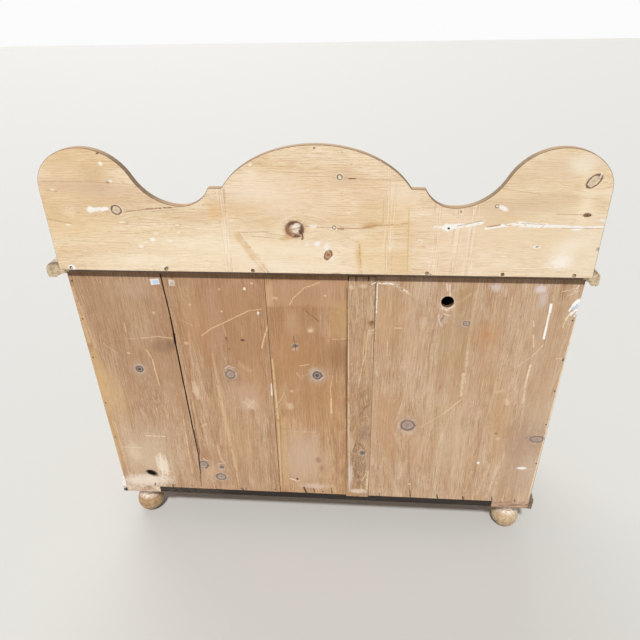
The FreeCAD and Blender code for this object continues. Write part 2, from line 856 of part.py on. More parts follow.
def hinge_leaf(side, z):
    """One leaf with its own knuckles."""
    axis = hinge_axis()
    pitch = hinge_height / hinge_knuckles
    own = 0 if side == 1 else 1
    flat = leaf_box(side, z, 0)
    near = axis.x + side * hinge_leaf_gap / 2
    far = near + side * hinge_leaf_thick
    barrels = []
    for index in range(own, hinge_knuckles, 2):
        z0 = z + pitch * index + (hinge_joint_gap / 2 if index else 0)
        z1 = z + pitch * (index + 1) - (hinge_joint_gap / 2 if index < hinge_knuckles - 1 else 0)
        barrel = cylinder(hinge_barrel_radius, z1 - z0, V(axis.x, axis.y, z0), V(0, 0, 1))
        barrels += [barrel, box(near, far, axis.y, front_y, z0, z1)]
    leaf = flat.fuse(barrels).removeSplitter()
    bore = cylinder(hinge_pin_radius + hinge_pin_fit, hinge_height, V(axis.x, axis.y, z), V(0, 0, 1))
    return leaf.cut(bore)


def hinge_pin(z):
    """A pin with a small head at each end."""
    axis = hinge_axis()
    pin = cylinder(hinge_pin_radius, hinge_height, V(axis.x, axis.y, z), V(0, 0, 1))
    heads = [cylinder(hinge_barrel_radius, hinge_tip, V(axis.x, axis.y, z - hinge_tip), V(0, 0, 1)),
             cylinder(hinge_barrel_radius, hinge_tip, V(axis.x, axis.y, z + hinge_height), V(0, 0, 1))]
    return pin.fuse(heads).removeSplitter()


# Doors

def make_right_door():
    """The right-hand door, hung on its right edge."""
    x0 = mid_x + muntin_outer_half + door_gap
    x1 = mid_x + door_side_half - door_gap
    z0 = opening_low_z + door_gap
    z1 = opening_high_z - door_gap
    y1 = frame_back_y
    in0 = x0 + door_stile_width
    in1 = x1 - door_stile_width
    low = z0 + door_bottom_width
    high = z1 - door_top_width
    mid_y = front_y + frame_thick / 2
    groove = box(in0 - panel_groove_depth, in1 + panel_groove_depth, mid_y - panel_groove_width / 2,
                 mid_y + panel_groove_width / 2, low - panel_groove_depth, high + panel_groove_depth)
    rails, rail_tenons = [], []
    for a, b in ((z0, low), (high, z1)):
        ends = [box(in0 - door_tenon_length, in0 + tenon_shoulder, mid_y - panel_groove_width / 2,
                    mid_y + panel_groove_width / 2, a + panel_groove_depth, b - panel_groove_depth),
                box(in1 - tenon_shoulder, in1 + door_tenon_length, mid_y - panel_groove_width / 2,
                    mid_y + panel_groove_width / 2, a + panel_groove_depth, b - panel_groove_depth)]
        body = board(in0, in1, front_y, y1, a, b).cut(groove)
        rails.append(body.fuse(ends).removeSplitter())
        rail_tenons += ends
    knob_seat = V(x0 + door_stile_width / 2, front_y, shelf_z + shelf_thick + knob_over_shelf)
    spindle_hole = cylinder(spindle_radius + spindle_fit, frame_thick, knob_seat, V(0, 1, 0))
    stiles = [board(x0, in0, front_y, y1, z0, z1), board(in1, x1, front_y, y1, z0, z1)]
    cuts = [groove, spindle_hole] + rail_tenons + hinge_recesses("door")
    stiles = [stile.cut(cuts) for stile in stiles]
    tongue = groove.BoundBox
    play = panel_play
    flat = box(tongue.XMin + play, tongue.XMax - play, tongue.YMin + nail_fit, tongue.YMax - nail_fit,
               tongue.ZMin + play, tongue.ZMax - play)
    panel = flat.fuse(raised_field(in0, in1, low, high, mid_y)).removeSplitter()
    spindle = latch_gap + frame_thick + latch_gap + latch_thick + spindle_end
    knob = turned(knob_edges(spindle_radius, spindle), knob_seat - V(0, latch_gap, 0), V(0, -1, 0))
    return {
        "stiles": group(stiles),
        "rails": group(rails),
        "panel": panel,
        "hinge_leaves": group([hinge_leaf(-1, z) for z in hinge_levels()]),
        "knob": knob,
        "latch": make_latch(knob_seat),
    }


def raised_field(in0, in1, low, high, mid_y):
    """The raised middle of the panel, with sloping borders on its front."""
    back = mid_y + panel_groove_width / 2 - nail_fit
    front = back - panel_thick
    slope_y = mid_y - panel_groove_width / 2 + nail_fit
    inset = panel_field_inset
    play = panel_play
    outer = [V(in0 + play, slope_y, low + play), V(in1 - play, slope_y, low + play),
             V(in1 - play, slope_y, high - play), V(in0 + play, slope_y, high - play)]
    inner = [V(in0 + inset, front, low + inset), V(in1 - inset, front, low + inset),
             V(in1 - inset, front, high - inset), V(in0 + inset, front, high - inset)]
    wires = [Part.makePolygon(points + [points[0]]) for points in (outer, inner)]
    return Part.makeLoft(wires, True, True)


def make_latch(seat):
    """The wooden latch behind the door, which hangs when the door is free to open."""
    y0 = frame_back_y + latch_gap
    y1 = y0 + latch_thick
    reach = seat.x - (mid_x + partition_out_half) - latch_reach_gap
    latch_length = math.sqrt(reach ** 2 - (latch_width / 2) ** 2)
    bar = board(seat.x - latch_width / 2, seat.x + latch_width / 2, y0, y1,
                seat.z - latch_length, seat.z + latch_tail)
    return bar.cut(cylinder(spindle_radius + nail_fit, latch_thick, V(seat.x, y0, seat.z), V(0, 1, 0)))


def build():
    parts = {}
    parts["top_board"] = make_top()
    parts["top_moulding"] = make_top_moulding()
    parts["gallery_board"] = make_gallery()
    parts["gallery_screws"] = make_gallery_screws()
    nail_holes = nails(nail_fit)
    side = make_side()
    parts["side_panel_left"] = mirrored(side).cut(nail_holes)
    parts["side_panel_right"] = side.cut(nail_holes)
    parts["bottom_board"] = make_bottom().cut(nail_holes)
    parts["partitions"] = make_partitions()
    for name, solid in make_back_boards().items():
        parts[name] = solid.cut(nail_holes)
    parts["back_cover_strip"] = make_cover_strip()
    parts["back_nails"] = group(nails(0))
    parts["back_rail_top"] = back_rail_box()
    parts.update(make_front_frame())
    parts["drawer_runners"] = make_runners()
    parts["shelves"], parts["shelf_bearers"] = make_shelves()
    parts["plinth"] = make_plinth()
    parts["base_rail_back"] = make_base_rail()
    parts["base_blocks"] = make_base_blocks()
    for name, place in foot_places().items():
        parts[name] = foot_solid(place)
    frame_leaves = [copy for z in hinge_levels() for copy in both_sides(hinge_leaf(1, z))]
    parts["hinge_leaves_frame"] = group(frame_leaves)
    parts["hinge_pins"] = group([copy for z in hinge_levels() for copy in both_sides(hinge_pin(z))])
    for piece, solid in make_right_door().items():
        parts["door_right_" + piece] = solid
        parts["door_left_" + piece] = mirrored(solid)
    for number, (low, high) in enumerate(drawer_openings(), start=1):
        for piece, solid in make_drawer(low, high).items():
            parts["drawer_" + str(number) + "_" + piece] = solid
    return parts


os.makedirs("parts", exist_ok=True)
for name, shape in build().items():
    if not shape.isValid():
        print("not valid:", name)
    shape.exportStep("parts/" + name + ".step")
    print(name, len(shape.Solids), round(shape.Volume))
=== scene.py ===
import math
import bmesh
import bpy
from mathutils import Matrix, Vector


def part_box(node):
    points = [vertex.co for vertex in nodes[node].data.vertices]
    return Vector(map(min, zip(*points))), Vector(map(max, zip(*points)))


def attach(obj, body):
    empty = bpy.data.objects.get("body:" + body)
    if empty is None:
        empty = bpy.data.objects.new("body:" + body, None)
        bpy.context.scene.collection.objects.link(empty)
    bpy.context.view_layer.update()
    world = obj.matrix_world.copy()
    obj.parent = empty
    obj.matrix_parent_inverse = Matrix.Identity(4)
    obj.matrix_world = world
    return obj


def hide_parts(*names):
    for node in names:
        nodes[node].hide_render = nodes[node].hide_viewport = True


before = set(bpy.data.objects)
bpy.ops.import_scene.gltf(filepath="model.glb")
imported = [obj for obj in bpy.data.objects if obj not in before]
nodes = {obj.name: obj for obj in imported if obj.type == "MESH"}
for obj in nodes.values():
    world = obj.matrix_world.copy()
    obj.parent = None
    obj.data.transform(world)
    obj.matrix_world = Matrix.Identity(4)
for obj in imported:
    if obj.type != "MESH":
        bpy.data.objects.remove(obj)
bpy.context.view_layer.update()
print("frame loaded,", len(nodes), "nodes")

perMetre = 1000      # the frame is in metres, and the sizes and places below are in mm
caseX, caseY, caseZ = -10.5, 12, 534               # the middle of the case
frontY, topRailZ = -197, 905                       # its front frame and its top rails
returnX = 650                                      # the mouldings' returns start here

# Camera, in metres and radians, for a picture 640 pixels wide

photoCamera = {
    "place": (-0.1152, 1.4652, 1.5342),
    "yaw": 0.0819,
    "pitch": 0.5382,
    "roll": -0.0200,
    "focalPixels": 550.6,
    "picture": 640,
    "sensor": 36.0,      # mm
    "farthest": 100,
}


def cameraAxes():
    yaw, pitch, roll = (photoCamera[key] for key in ("yaw", "pitch", "roll"))
    level = Vector((-math.cos(yaw), -math.sin(yaw), 0))
    forward = Vector((math.sin(yaw) * math.cos(pitch), -math.cos(yaw) * math.cos(pitch), -math.sin(pitch)))
    over = level.cross(forward)
    right = level * math.cos(roll) + over * math.sin(roll)
    up = over * math.cos(roll) - level * math.sin(roll)
    return right, up, forward


def boardPlace(pixel, faceY):
    # where a picture point lies on an upright board face: x, z and the length of one pixel there
    right, up, forward = cameraAxes()
    half = photoCamera["picture"] / 2
    focal = photoCamera["focalPixels"]
    ray = forward + right * ((pixel[0] - half) / focal) + up * ((half - pixel[1]) / focal)
    place = Vector(photoCamera["place"])
    reach = (faceY / perMetre - place.y) / ray.y
    hit = place + ray * reach
    return hit.x * perMetre, hit.z * perMetre, reach / focal * perMetre


def addObject(name, data):
    made = bpy.data.objects.new(name, data)
    bpy.context.scene.collection.objects.link(made)
    return made


def makeCamera():
    data = bpy.data.cameras.new("photoCamera")
    data.sensor_width = photoCamera["sensor"]
    data.lens = photoCamera["focalPixels"] / photoCamera["picture"] * photoCamera["sensor"]
    data.clip_end = photoCamera["farthest"]
    camera = addObject("photoCamera", data)
    right, up, forward = cameraAxes()
    turn = Matrix((right, up, -forward)).transposed()
    camera.matrix_world = Matrix.Translation(photoCamera["place"]) @ turn.to_4x4()
    bpy.context.scene.camera = camera


makeCamera()
print("camera placed")


# Shader maths

def tone(*screen):
    # a screen colour as the shader's linear one
    shares = (value / 255 for value in screen)
    return tuple(c / 12.92 if c < 0.0408 else ((c + 0.055) / 1.055) ** 2.4 for c in shares) + (1.0,)


class Wire:
    def __init__(self, finish, socket):
        self.finish = finish
        self.socket = socket

    def does(self, operation, *others):
        return self.finish.maths(operation, self, *others)

    def __add__(self, other):
        return self.does("ADD", other)

    def __sub__(self, other):
        return self.does("SUBTRACT", other)

    def __rsub__(self, other):
        return self.finish.maths("SUBTRACT", other, self)

    def __mul__(self, other):
        return self.does("MULTIPLY", other)

    def __truediv__(self, other):
        return self.does("DIVIDE", other)

    def __rtruediv__(self, other):
        return self.finish.maths("DIVIDE", other, self)

    def __abs__(self):
        return self.does("ABSOLUTE")

    def __gt__(self, other):
        return self.does("GREATER_THAN", other)

    def __lt__(self, other):
        return self.does("LESS_THAN", other)

    __radd__ = __add__
    __rmul__ = __mul__


class Finish:
    def __init__(self, name):
        self.material = bpy.data.materials.new(name)
        self.material.use_nodes = True
        self.tree = self.material.node_tree
        self.tree.nodes.clear()

    def node(self, kind, settings=None, sockets=None, output=0):
        made = self.tree.nodes.new(kind)
        for key, value in (settings or {}).items():
            setattr(made, key, value)
        for key, value in (sockets or {}).items():
            if isinstance(value, Wire):
                self.tree.links.new(value.socket, made.inputs[key])
            else:
                made.inputs[key].default_value = value
        return Wire(self, made.outputs[output]) if made.outputs else None

    def group(self, kit, sockets):
        return self.node("ShaderNodeGroup", {"node_tree": kit.tree}, sockets)

    def other(self, wire, output):
        # another output of the node that a wire comes from
        return Wire(self, wire.socket.node.outputs[output])

    def maths(self, operation, *values):
        return self.node("ShaderNodeMath", {"operation": operation}, dict(enumerate(values)))

    def vector(self, *parts):
        return self.node("ShaderNodeCombineXYZ", {}, dict(enumerate(parts)))

    def parts(self, vector):
        split = self.node("ShaderNodeSeparateXYZ", {}, {0: vector})
        return [Wire(self, output) for output in split.socket.node.outputs]

    def point(self):
        # the place on the piece, in mm
        place = self.node("ShaderNodeTexCoord", {}, {}, "Object")
        return self.node("ShaderNodeVectorMath", {"operation": "SCALE"}, {0: place, "Scale": perMetre})

    def stretch(self, vector, lengths, shift=(0, 0, 0)):
        # lengths are the pattern's sizes along each direction
        settings = {"operation": "MULTIPLY_ADD"}
        return self.node("ShaderNodeVectorMath", settings, {0: vector, 1: [1 / a for a in lengths], 2: shift})

    def noise(self, vector, detail=2, rough=0.5, twist=0):
        sockets = {"Vector": vector, "Scale": 1, "Detail": detail, "Roughness": rough, "Distortion": twist}
        return self.node("ShaderNodeTexNoise", {}, sockets)

    def fade(self, value, outer, inner, top=1):
        # 0 at outer and top at inner, smooth between
        settings = {"interpolation_type": "SMOOTHSTEP", "clamp": False}
        return self.node("ShaderNodeMapRange", settings, {0: value, 1: outer, 2: inner, 3: 0, 4: top})

    def blend(self, share, first, second, mode="MIX"):
        settings = {"data_type": "RGBA", "blend_type": mode, "clamp_factor": True}
        return self.node("ShaderNodeMix", settings, {0: share, 6: first, 7: second}, 2)

    def length(self, vector):
        return self.node("ShaderNodeVectorMath", {"operation": "LENGTH"}, {0: vector}, 1)

    def close(self, colour, roughness, height, depth=0.4, strength=0.6, **fixed):
        sockets = {"Height": height, "Strength": strength, "Distance": depth / perMetre}
        bump = self.node("ShaderNodeBump", {}, sockets)
        sockets = {"Base Color": colour, "Roughness": roughness, "Normal": bump} | fixed
        shader = self.node("ShaderNodeBsdfPrincipled", {}, sockets)
        self.node("ShaderNodeOutputMaterial", {}, {"Surface": shader})
        return self.material


class Kit(Finish):
    # maths that many marks share, as a node group
    def __init__(self, name, inputs, outputs):
        self.tree = bpy.data.node_groups.new(name, "ShaderNodeTree")
        kinds = {"Colour": "Color", "Place": "Vector", "Ahead": "Vector", "Aside": "Vector"}
        for side, labels in (("INPUT", inputs), ("OUTPUT", outputs)):
            for label in labels:
                kind = "NodeSocket" + kinds.get(label, "Float")
                self.tree.interface.new_socket(label, in_out=side, socket_type=kind)
        entry = self.node("NodeGroupInput").socket.node
        self.given = {socket.name: Wire(self, socket) for socket in entry.outputs if socket.name}

    def reached(self, direction):
        # how far the point lies along a direction given as rise, run and start
        sockets = {0: self.given["Place"], 1: self.given[direction]}
        return self.node("ShaderNodeVectorMath", {"operation": "DOT_PRODUCT"}, sockets, 1)

    def deliver(self, *values):
        self.node("NodeGroupOutput", {}, dict(enumerate(values)))


strokeEdge = {"outer": 1.25, "inner": 0.5, "end": 0.88}      # shares of a stroke's half width and half length


def makeStrokeKit():
    inputs = ("Place", "Ragged", "Ahead", "Aside", "Bend", "Low", "High", "Share")
    kit = Kit("strokeShare", inputs, ("Share",))
    given = kit.given
    along = kit.reached("Ahead")
    off = kit.reached("Aside") + (along * along - 1) * given["Bend"]
    across = kit.fade(abs(off), strokeEdge["outer"], strokeEdge["inner"], given["Share"])
    mask = across * kit.fade(abs(along), 1, strokeEdge["end"])
    kit.deliver(mask * kit.fade(given["Ragged"], given["Low"], given["High"]))
    return kit


def makeSpotKit(square):
    name = "squareShare" if square else "roundShare"
    inputs = ("Place", "Ragged", "Ahead", "Aside", "Outer", "Inner", "Torn", "Share")
    kit = Kit(name, inputs, ("Share", "Reach"))
    given = kit.given
    across, upright = kit.reached("Ahead"), kit.reached("Aside")
    if square:
        reach = abs(across).does("MAXIMUM", abs(upright))
    else:
        reach = (across * across + upright * upright).does("SQRT")
    reach = reach + (given["Ragged"] - 0.5) * given["Torn"]
    kit.deliver(kit.fade(reach, given["Outer"], given["Inner"], given["Share"]), reach)
    return kit


strokeKit = makeStrokeKit()
spotKits = {False: makeSpotKit(False), True: makeSpotKit(True)}

# Pine, with its own rings, streaks, fibres and knots on each board

pine = {
    "grain": "xzy",              # along the fibres, across them, and towards the heart of the tree
    "pale": (236, 214, 176),
    "deep": (214, 184, 138),
    "late": (190, 150, 104),
    "stain": (196, 160, 116),
    "bloom": (238, 226, 206),
    "speck": (246, 234, 212),    # pale flecks
    "fleck": (140, 104, 72),     # dark flecks
    "ringWidth": 4.4,
    "ringShare": 0.45,
    "streakShare": 0.35,
    "threadShare": 0.3,
    "fibreShare": 0.22,
    "stainShare": 0.25,
    "bloomShare": 0.25,
    "cloudShare": 0.25,
    "speckShare": 0.2,
    "wander": 16,
    "heart": (0, 70),            # the tree's heart from the board's middle, across and deep
    "taper": 0.035,
    "drift": 30,                 # how far the heart strays in depth
    "uneven": (23, 3),           # over how much of the radius the rings' widths change, and by how many rings
    "paired": 0,                 # from the grain of one matching piece to the other's
    "mitred": False,
    "gloss": 0,                  # 0 is raw, 1 is waxed
    "sawn": 0,
    "knots": (),
}
patterns = {
    # sizes along, across and deep, detail, roughness, then what the seed is multiplied by and what is added
    "sway": ((620, 190, 190), 1, 0.5, (1, 2, 0), (0, 0, 0)),
    "drift": ((430, 900, 900), 1, 0.5, (3, 0, 1), (0, 1, 0)),
    "broad": ((900, 34, 34), 3, 0.55, (1, 1, 0), (0, 0, 2)),
    "streaks": ((330, 3.6, 3.6), 2, 0.6, (0, 4, 1), (2, 0, 0)),
    "threads": ((64, 2.1, 2.1), 2, 0.6, (2, 0, 1), (0, 5, 0)),
    "patches": ((300, 110, 110), 4, 0.6, (5, 0, 1), (0, 3, 0)),
    "clouds": ((95, 42, 42), 3, 0.6, (1, 6, 0), (0, 0, 3)),
    "flecks": ((9, 3.2, 3.2), 1, 0.5, (7, 0, 1), (0, 2, 0)),
    "fibres": ((30, 1.3, 1.3), 3, 0.7, (1, 0, 0), (0, 7, 1)),
    "rags": ((9, 9, 9), 4, 0.7, (1, 0, 0), (0, 2, 5)),
    "cuts": ((3.4, 420, 420), 1, 0.5, (1, 0, 0), (0, 1, 9)),
    "worn": ((190, 80, 80), 2, 0.5, (0, 1, 0), (4, 0, 1)),
}
layers = (
    # pattern, where it starts and where it is whole, then its share and its colour
    ("streaks", 0.56, 0.78, "streakShare", "late"),
    ("threads", 0.52, 0.74, "threadShare", "late"),
    ("threads", 0.46, 0.26, "threadShare", "bloom"),
    ("patches", 0.52, 0.8, "stainShare", "stain"),
    ("patches", 0.46, 0.2, "bloomShare", "bloom"),
    ("clouds", 0.54, 0.74, "cloudShare", "stain"),
    ("clouds", 0.46, 0.28, "cloudShare", "bloom"),
    ("flecks", 0.68, 0.78, "speckShare", "speck"),
    ("flecks", 0.31, 0.22, "speckShare", "fleck"),
)
# how far rings part round a knot, as shares of its radius
partedRings = {"along": 3.6, "across": 2.1, "reach": 1.6, "share": 0.92}
caught = 0.7                      # how far the edges of marks follow the fibres
skin = 1.6                        # marks reach this deep from the outer face
# where a stroke starts and where it is whole in the ragged pattern, and what tearing adds to each
brokenUp = {"low": (0.34, 0.06), "high": (0.41, 0.07), "whole": (-1, -0.5)}
dryRough, waxedRough = 0.66, 0.24
dryShine, waxedShine = 0.35, 0.15


def startedAt(rise, run, place):
    return rise, run, -rise * place[0] - run * place[1]


def spotAxes(place, radius, stretch, turn):
    wide, high = radius * stretch, radius
    ahead = startedAt(-math.cos(turn) / wide, math.sin(turn) / wide, place)
    aside = startedAt(math.sin(turn) / high, math.cos(turn) / high, place)
    return ahead, aside


class Board:
    # one board's finish while it is built up: colour, height and roughness
    def __init__(self, name, look):
        self.look = pine | look
        self.f = f = Finish(name)
        self.normal = f.parts(f.node("ShaderNodeTexCoord", {}, {}, "Normal"))
        self.point = f.point()
        self.x, self.y, self.z = f.parts(self.point)
        self.grow()

    def tones(self, key):
        return tone(*self.look[key])

    def pattern(self, key, vector):
        sizes, detail, rough, times, more = patterns[key]
        shift = [self.look["seed"] * a + b for a, b in zip(times, more)]
        return self.f.noise(self.f.stretch(vector, sizes, shift), detail, rough)

    def directions(self):
        look = self.look
        middle = look["middle"]
        axes = {"x": self.x - middle[0], "y": self.y - middle[1], "z": self.z - middle[2]}
        along, across, deep = (axes[letter] for letter in look["grain"])
        if look["mitred"]:
            # the returns at the ends run back from the mitre
            side = (abs(axes["x"]) - look["mitred"]) > (0 - axes["y"])
            along, deep = along + side * (deep - along), deep + side * (along - deep)
            across = across + side * 83
        if look["paired"]:
            across = across + (self.x > caseX) * look["paired"]
            along = along + (self.x > caseX) * look["paired"] * 3
        return along, across, deep

    def partRings(self, knot):
        # rings part round a knot
        f = self.f
        apart = self.across - knot["across"]
        ahead = (self.along - knot["along"]) / (knot["radius"] * partedRings["along"])
        reach = f.length(f.vector(ahead, apart / (knot["radius"] * partedRings["across"]), 0))
        self.across = self.across - apart * f.fade(reach, partedRings["reach"], 0) * partedRings["share"]

    def drawRings(self, plain):
        f, look = self.f, self.look
        drift = self.pattern("drift", plain)
        over = self.across - look["heart"][0]
        under = self.deep + self.along * look["taper"] + (drift - 0.5) * look["drift"] - look["heart"][1]
        radius = f.length(f.vector(over, under, 0))
        span, most = look["uneven"]
        wide = f.noise(f.vector(radius / span, look["seed"], 0))
        count = radius / look["ringWidth"] + (wide - 0.5) * most
        ring = count.does("FRACT")
        numbered = {"W": count.does("FLOOR") + look["seed"]}
        each = f.node("ShaderNodeTexWhiteNoise", {"noise_dimensions": "1D"}, numbered)
        self.late = f.fade(ring, 0.25, 0.9) * f.fade(ring, 1, 0.93)
        return self.late * (each * 0.75 + 0.25) * look["ringShare"]

    def grow(self):
        f, look = self.f, self.look
        self.along, across, self.deep = self.directions()
        plain = f.vector(self.along, across, self.deep)
        self.across = across + (self.pattern("sway", plain) - 0.5) * (look["wander"] * 2)
        for knot in look["knots"]:
            self.partRings(knot)
        fibres = f.vector(self.along, self.across, self.deep)
        ringShare = self.drawRings(plain)
        broad = self.pattern("broad", fibres)
        colour = f.blend(f.fade(broad, 0.3, 0.7), self.tones("pale"), self.tones("deep"))
        colour = f.blend(ringShare, colour, self.tones("late"))
        drawn = {}
        for name, start, whole, share, key in layers:
            if name not in drawn:
                drawn[name] = self.pattern(name, fibres if name in ("streaks", "threads") else plain)
            colour = f.blend(f.fade(drawn[name], start, whole) * look[share], colour, self.tones(key))
        self.fine = self.pattern("fibres", fibres)
        fibreShare = f.fade(self.fine, 0.44, 0.68) * look["fibreShare"]
        self.colour = f.blend(fibreShare, colour, self.tones("late"), "MULTIPLY")
        self.height = self.fine * 0.5 - self.late * 0.35
        self.ragged = self.pattern("rags", plain)
        if look["sawn"]:
            cuts = self.pattern("cuts", plain)
            worn = f.fade(self.pattern("worn", plain), 0.45, 0.65)
            self.lay(f.fade(cuts, 0.5, 0.66) * worn * look["sawn"], look["late"], -0.6)
        self.endGrain()
        x, z = (f.maths("MULTIPLY_ADD", self.fine, caught, part) for part in (self.x, self.z))
        self.place = f.vector(x, z, 1)

    def endGrain(self):
        if self.look["mitred"]:
            return
        end = abs(self.normal["xyz".index(self.look["grain"][0])])
        share = self.f.fade(end, 0.75, 0.95)
        self.colour = self.f.blend(share * 0.5, self.colour, self.tones("late"))
        self.height = self.height - share * self.fine * 0.5

    def lay(self, share, colour, lift=0):
        # a mark or stain over what is there
        self.colour = self.f.blend(share, self.colour, tone(*colour))
        if lift:
            self.height = self.height + share * lift

    def tint(self, pattern, rows, within=None):
        # rows say where in the pattern a tint starts and where it is whole, its share and its colour
        for start, whole, share, colour in rows:
            mask = self.f.fade(pattern, start, whole)
            if within is not None:
                mask = within * mask
            self.lay(mask * share, colour)

    def spot(self, place, radius, stretch, turn, soft, torn, share=1, square=False):
        # share inside a mark, turned anticlockwise in the picture: soft and torn are shares of the radius
        ahead, aside = spotAxes(place, radius, stretch, turn)
        mark = self.f.group(spotKits[square], {
            "Place": self.place, "Ragged": self.ragged, "Ahead": ahead, "Aside": aside,
            "Outer": 1 + soft, "Inner": 1 - soft, "Torn": torn, "Share": share})
        return mark, self.f.other(mark, "Reach")

    def stroke(self, start, end, width, bend, torn, share):
        # share along a thin mark between two places, broken up as far as it is torn
        run = Vector((end[0] - start[0], end[1] - start[1]))
        middle = ((start[0] + end[0]) / 2, (start[1] + end[1]) / 2)
        ahead = run.normalized() / (run.length / 2)
        aside = run.normalized() / (width / 2)
        low, high = brokenUp["whole"]
        if torn:
            low, high = (a + torn * b for a, b in (brokenUp["low"], brokenUp["high"]))
        return self.f.group(strokeKit, {
            "Place": self.place, "Ragged": self.ragged,
            "Ahead": startedAt(ahead.x, ahead.y, middle), "Aside": startedAt(-aside.y, aside.x, middle),
            "Bend": bend, "Low": low, "High": high, "Share": share})

    def keepTo(self, faceY, bare):
        # marks lie on the outer face alone
        self.colour = self.f.blend(self.y > (faceY - skin), bare, self.colour)

    def finished(self, depth=0.5, strength=0.5):
        gloss = self.look["gloss"]
        roughness = self.late * -0.06 + self.fine * 0.14 + (dryRough - gloss * waxedRough)
        shine = {"Specular IOR Level": dryShine + gloss * waxedShine}
        return self.f.close(self.colour, roughness, self.height, depth, strength, **shine)


print("pine finish ready")

# Knots and marks, placed by their points in the picture

knotTraits = ("heart", "mottle", "core", "rim", "halo", "pale",
              "haloReach", "coreReach", "rimWidth", "rings", "ringShare", "torn")
knotKinds = {
    # in the order of the traits: lengths are shares of the radius
    "big": (
        (224, 202, 178), (176, 130, 92), (238, 226, 208),
        (92, 58, 40), (206, 166, 118), (240, 222, 190),
        1.5, 0.4, 0.22, 2.5, 0.35, 0.7),
    "plain": (
        (224, 204, 176), (182, 152, 120), (202, 176, 144),
        (98, 70, 54), (226, 196, 154), (242, 228, 202),
        1.4, 0.25, 0.15, 4, 0.25, 0.55),
    "ring": (
        (238, 226, 204), (210, 186, 150), (240, 230, 212),
        (108, 80, 58), (222, 192, 150), (242, 228, 204),
        1.6, 0.3, 0.24, 1, 0.1, 0.4),
    "dark": (
        (128, 96, 74), (176, 142, 110), (74, 52, 40),
        (84, 56, 42), (204, 168, 124), (234, 214, 180),
        1.7, 0.5, 0.2, 1.5, 0.5, 0.5),
    "red": (
        (196, 150, 110), (214, 180, 146), (150, 102, 70),
        (134, 92, 64), (236, 216, 190), (244, 232, 214),
        1.6, 0.5, 0.18, 2, 0.4, 0.6),
    "grey": (
        (174, 152, 138), (192, 172, 156), (160, 136, 122),
        (124, 103, 92), (180, 150, 124), (214, 196, 178),
        1.7, 0.3, 0.17, 3, 0.45, 0.7),
    "eye": (
        (150, 134, 124), (178, 162, 150), (66, 55, 53),
        (112, 96, 90), (186, 164, 144), (210, 194, 180),
        2, 0.5, 0.2, 1.5, 0.5, 0.7),
}
# a groove round each knot that is wider than least
knotGroove = {"least": 4, "place": 0.95, "outer": 0.14, "inner": 0.03}


def knotPlace(look, faceY, knot):
    # a knot from the picture in the board's own directions
    px, py, radius, stretch, turn, kind = knot
    x, z, pixel = boardPlace((px, py), faceY)
    spots = {"x": x - look["middle"][0], "z": z - look["middle"][2]}
    along, across = (spots[letter] for letter in look["grain"][:2])
    return {"along": along, "across": across, "radius": radius * pixel * math.sqrt(stretch)}


def makeKnotKit(kind):
    look = dict(zip(knotTraits, knotKinds[kind]))
    kit = Kit(kind + "Knot", ("Colour", "Place", "Ragged", "Ahead", "Aside"), ("Colour", "Reach"))
    ragged = kit.given["Ragged"]
    across, upright = kit.reached("Ahead"), kit.reached("Aside")
    reach = (across * across + upright * upright).does("SQRT") + (ragged - 0.5) * look["torn"]
    inside = kit.fade(reach, 1.08, 0.92)
    turns = (reach * (look["rings"] * 2 * math.pi)).does("SINE")
    core, width = look["coreReach"], look["rimWidth"]
    rim = kit.fade(abs(reach - (1 - width)), width * 1.3, width * 0.4, 0.9)
    coats = (
        (kit.fade(reach, look["haloReach"], 1, 0.6), "halo"),
        (inside, "heart"),
        (kit.fade(ragged, 0.48, 0.6, 0.7) * inside, "mottle"),
        (kit.fade(reach, core, core * 0.6, 0.9), "core"),
        (kit.fade(turns, 0.2, 0.9, look["ringShare"]) * inside, "rim"),
        (rim * kit.fade(ragged, 0.28, 0.46), "rim"),
        (kit.fade(abs(reach - 1.25), 0.2, 0.05, 0.5) * kit.fade(ragged, 0.46, 0.58), "pale"),
    )
    colour = kit.given["Colour"]
    for share, key in coats:
        colour = kit.blend(share, colour, tone(*look[key]))
    kit.deliver(colour, reach)
    return kit


knotKits = {kind: makeKnotKit(kind) for kind in knotKinds}


def drawKnots(board, faceY, knots):
    f = board.f
    for px, py, radius, stretch, turn, kind in knots:
        x, z, pixel = boardPlace((px, py), faceY)
        ahead, aside = spotAxes((x, z), radius * pixel, stretch, turn)
        board.colour = f.group(knotKits[kind], {
            "Colour": board.colour, "Place": board.place, "Ragged": board.ragged,
            "Ahead": ahead, "Aside": aside})
        if radius > knotGroove["least"]:
            off = abs(f.other(board.colour, "Reach") - knotGroove["place"])
            board.height = board.height - f.fade(off, knotGroove["outer"], knotGroove["inner"])


def drawArches(board, faceY, arches):
    # pointed rings where the saw ran through the heart of the tree
    f = board.f
    for px, py, across, upright, turn, count, colour, share in arches:
        x, z, pixel = boardPlace((px, py), faceY)
        mask, reach = board.spot((x, z), upright * pixel, across / upright, turn, 0.35, 0.9)
        lines = ((reach + board.fine * 0.12) * (count * 2 * math.pi)).does("SINE")
        board.lay(f.fade(lines, -0.3, 0.95, share) * mask, colour)


def drawStroke(board, faceY, x0, y0, x1, y1, width, colour, share, torn=0.6, bend=0):
    # picture x and y of both ends, and the width in pixels
    start, end = boardPlace((x0, y0), faceY), boardPlace((x1, y1), faceY)
    board.lay(board.stroke(start, end, width * start[2], bend, torn, share), colour)


def drawSpot(board, faceY, square, px, py, across, upright, colour, share, soft=0.9, torn=0.9, turn=0):
    # picture x and y, and half widths in pixels
    x, z, pixel = boardPlace((px, py), faceY)
    mark = board.spot((x, z), upright * pixel, across / upright, turn, soft, torn, share, square)
    board.lay(mark[0], colour)


def drawMarks(board, faceY, strokes, spots, square=False):
    for stroke in strokes:
        drawStroke(board, faceY, *stroke)
    for spot in spots:
        drawSpot(board, faceY, square, *spot)


# Gallery

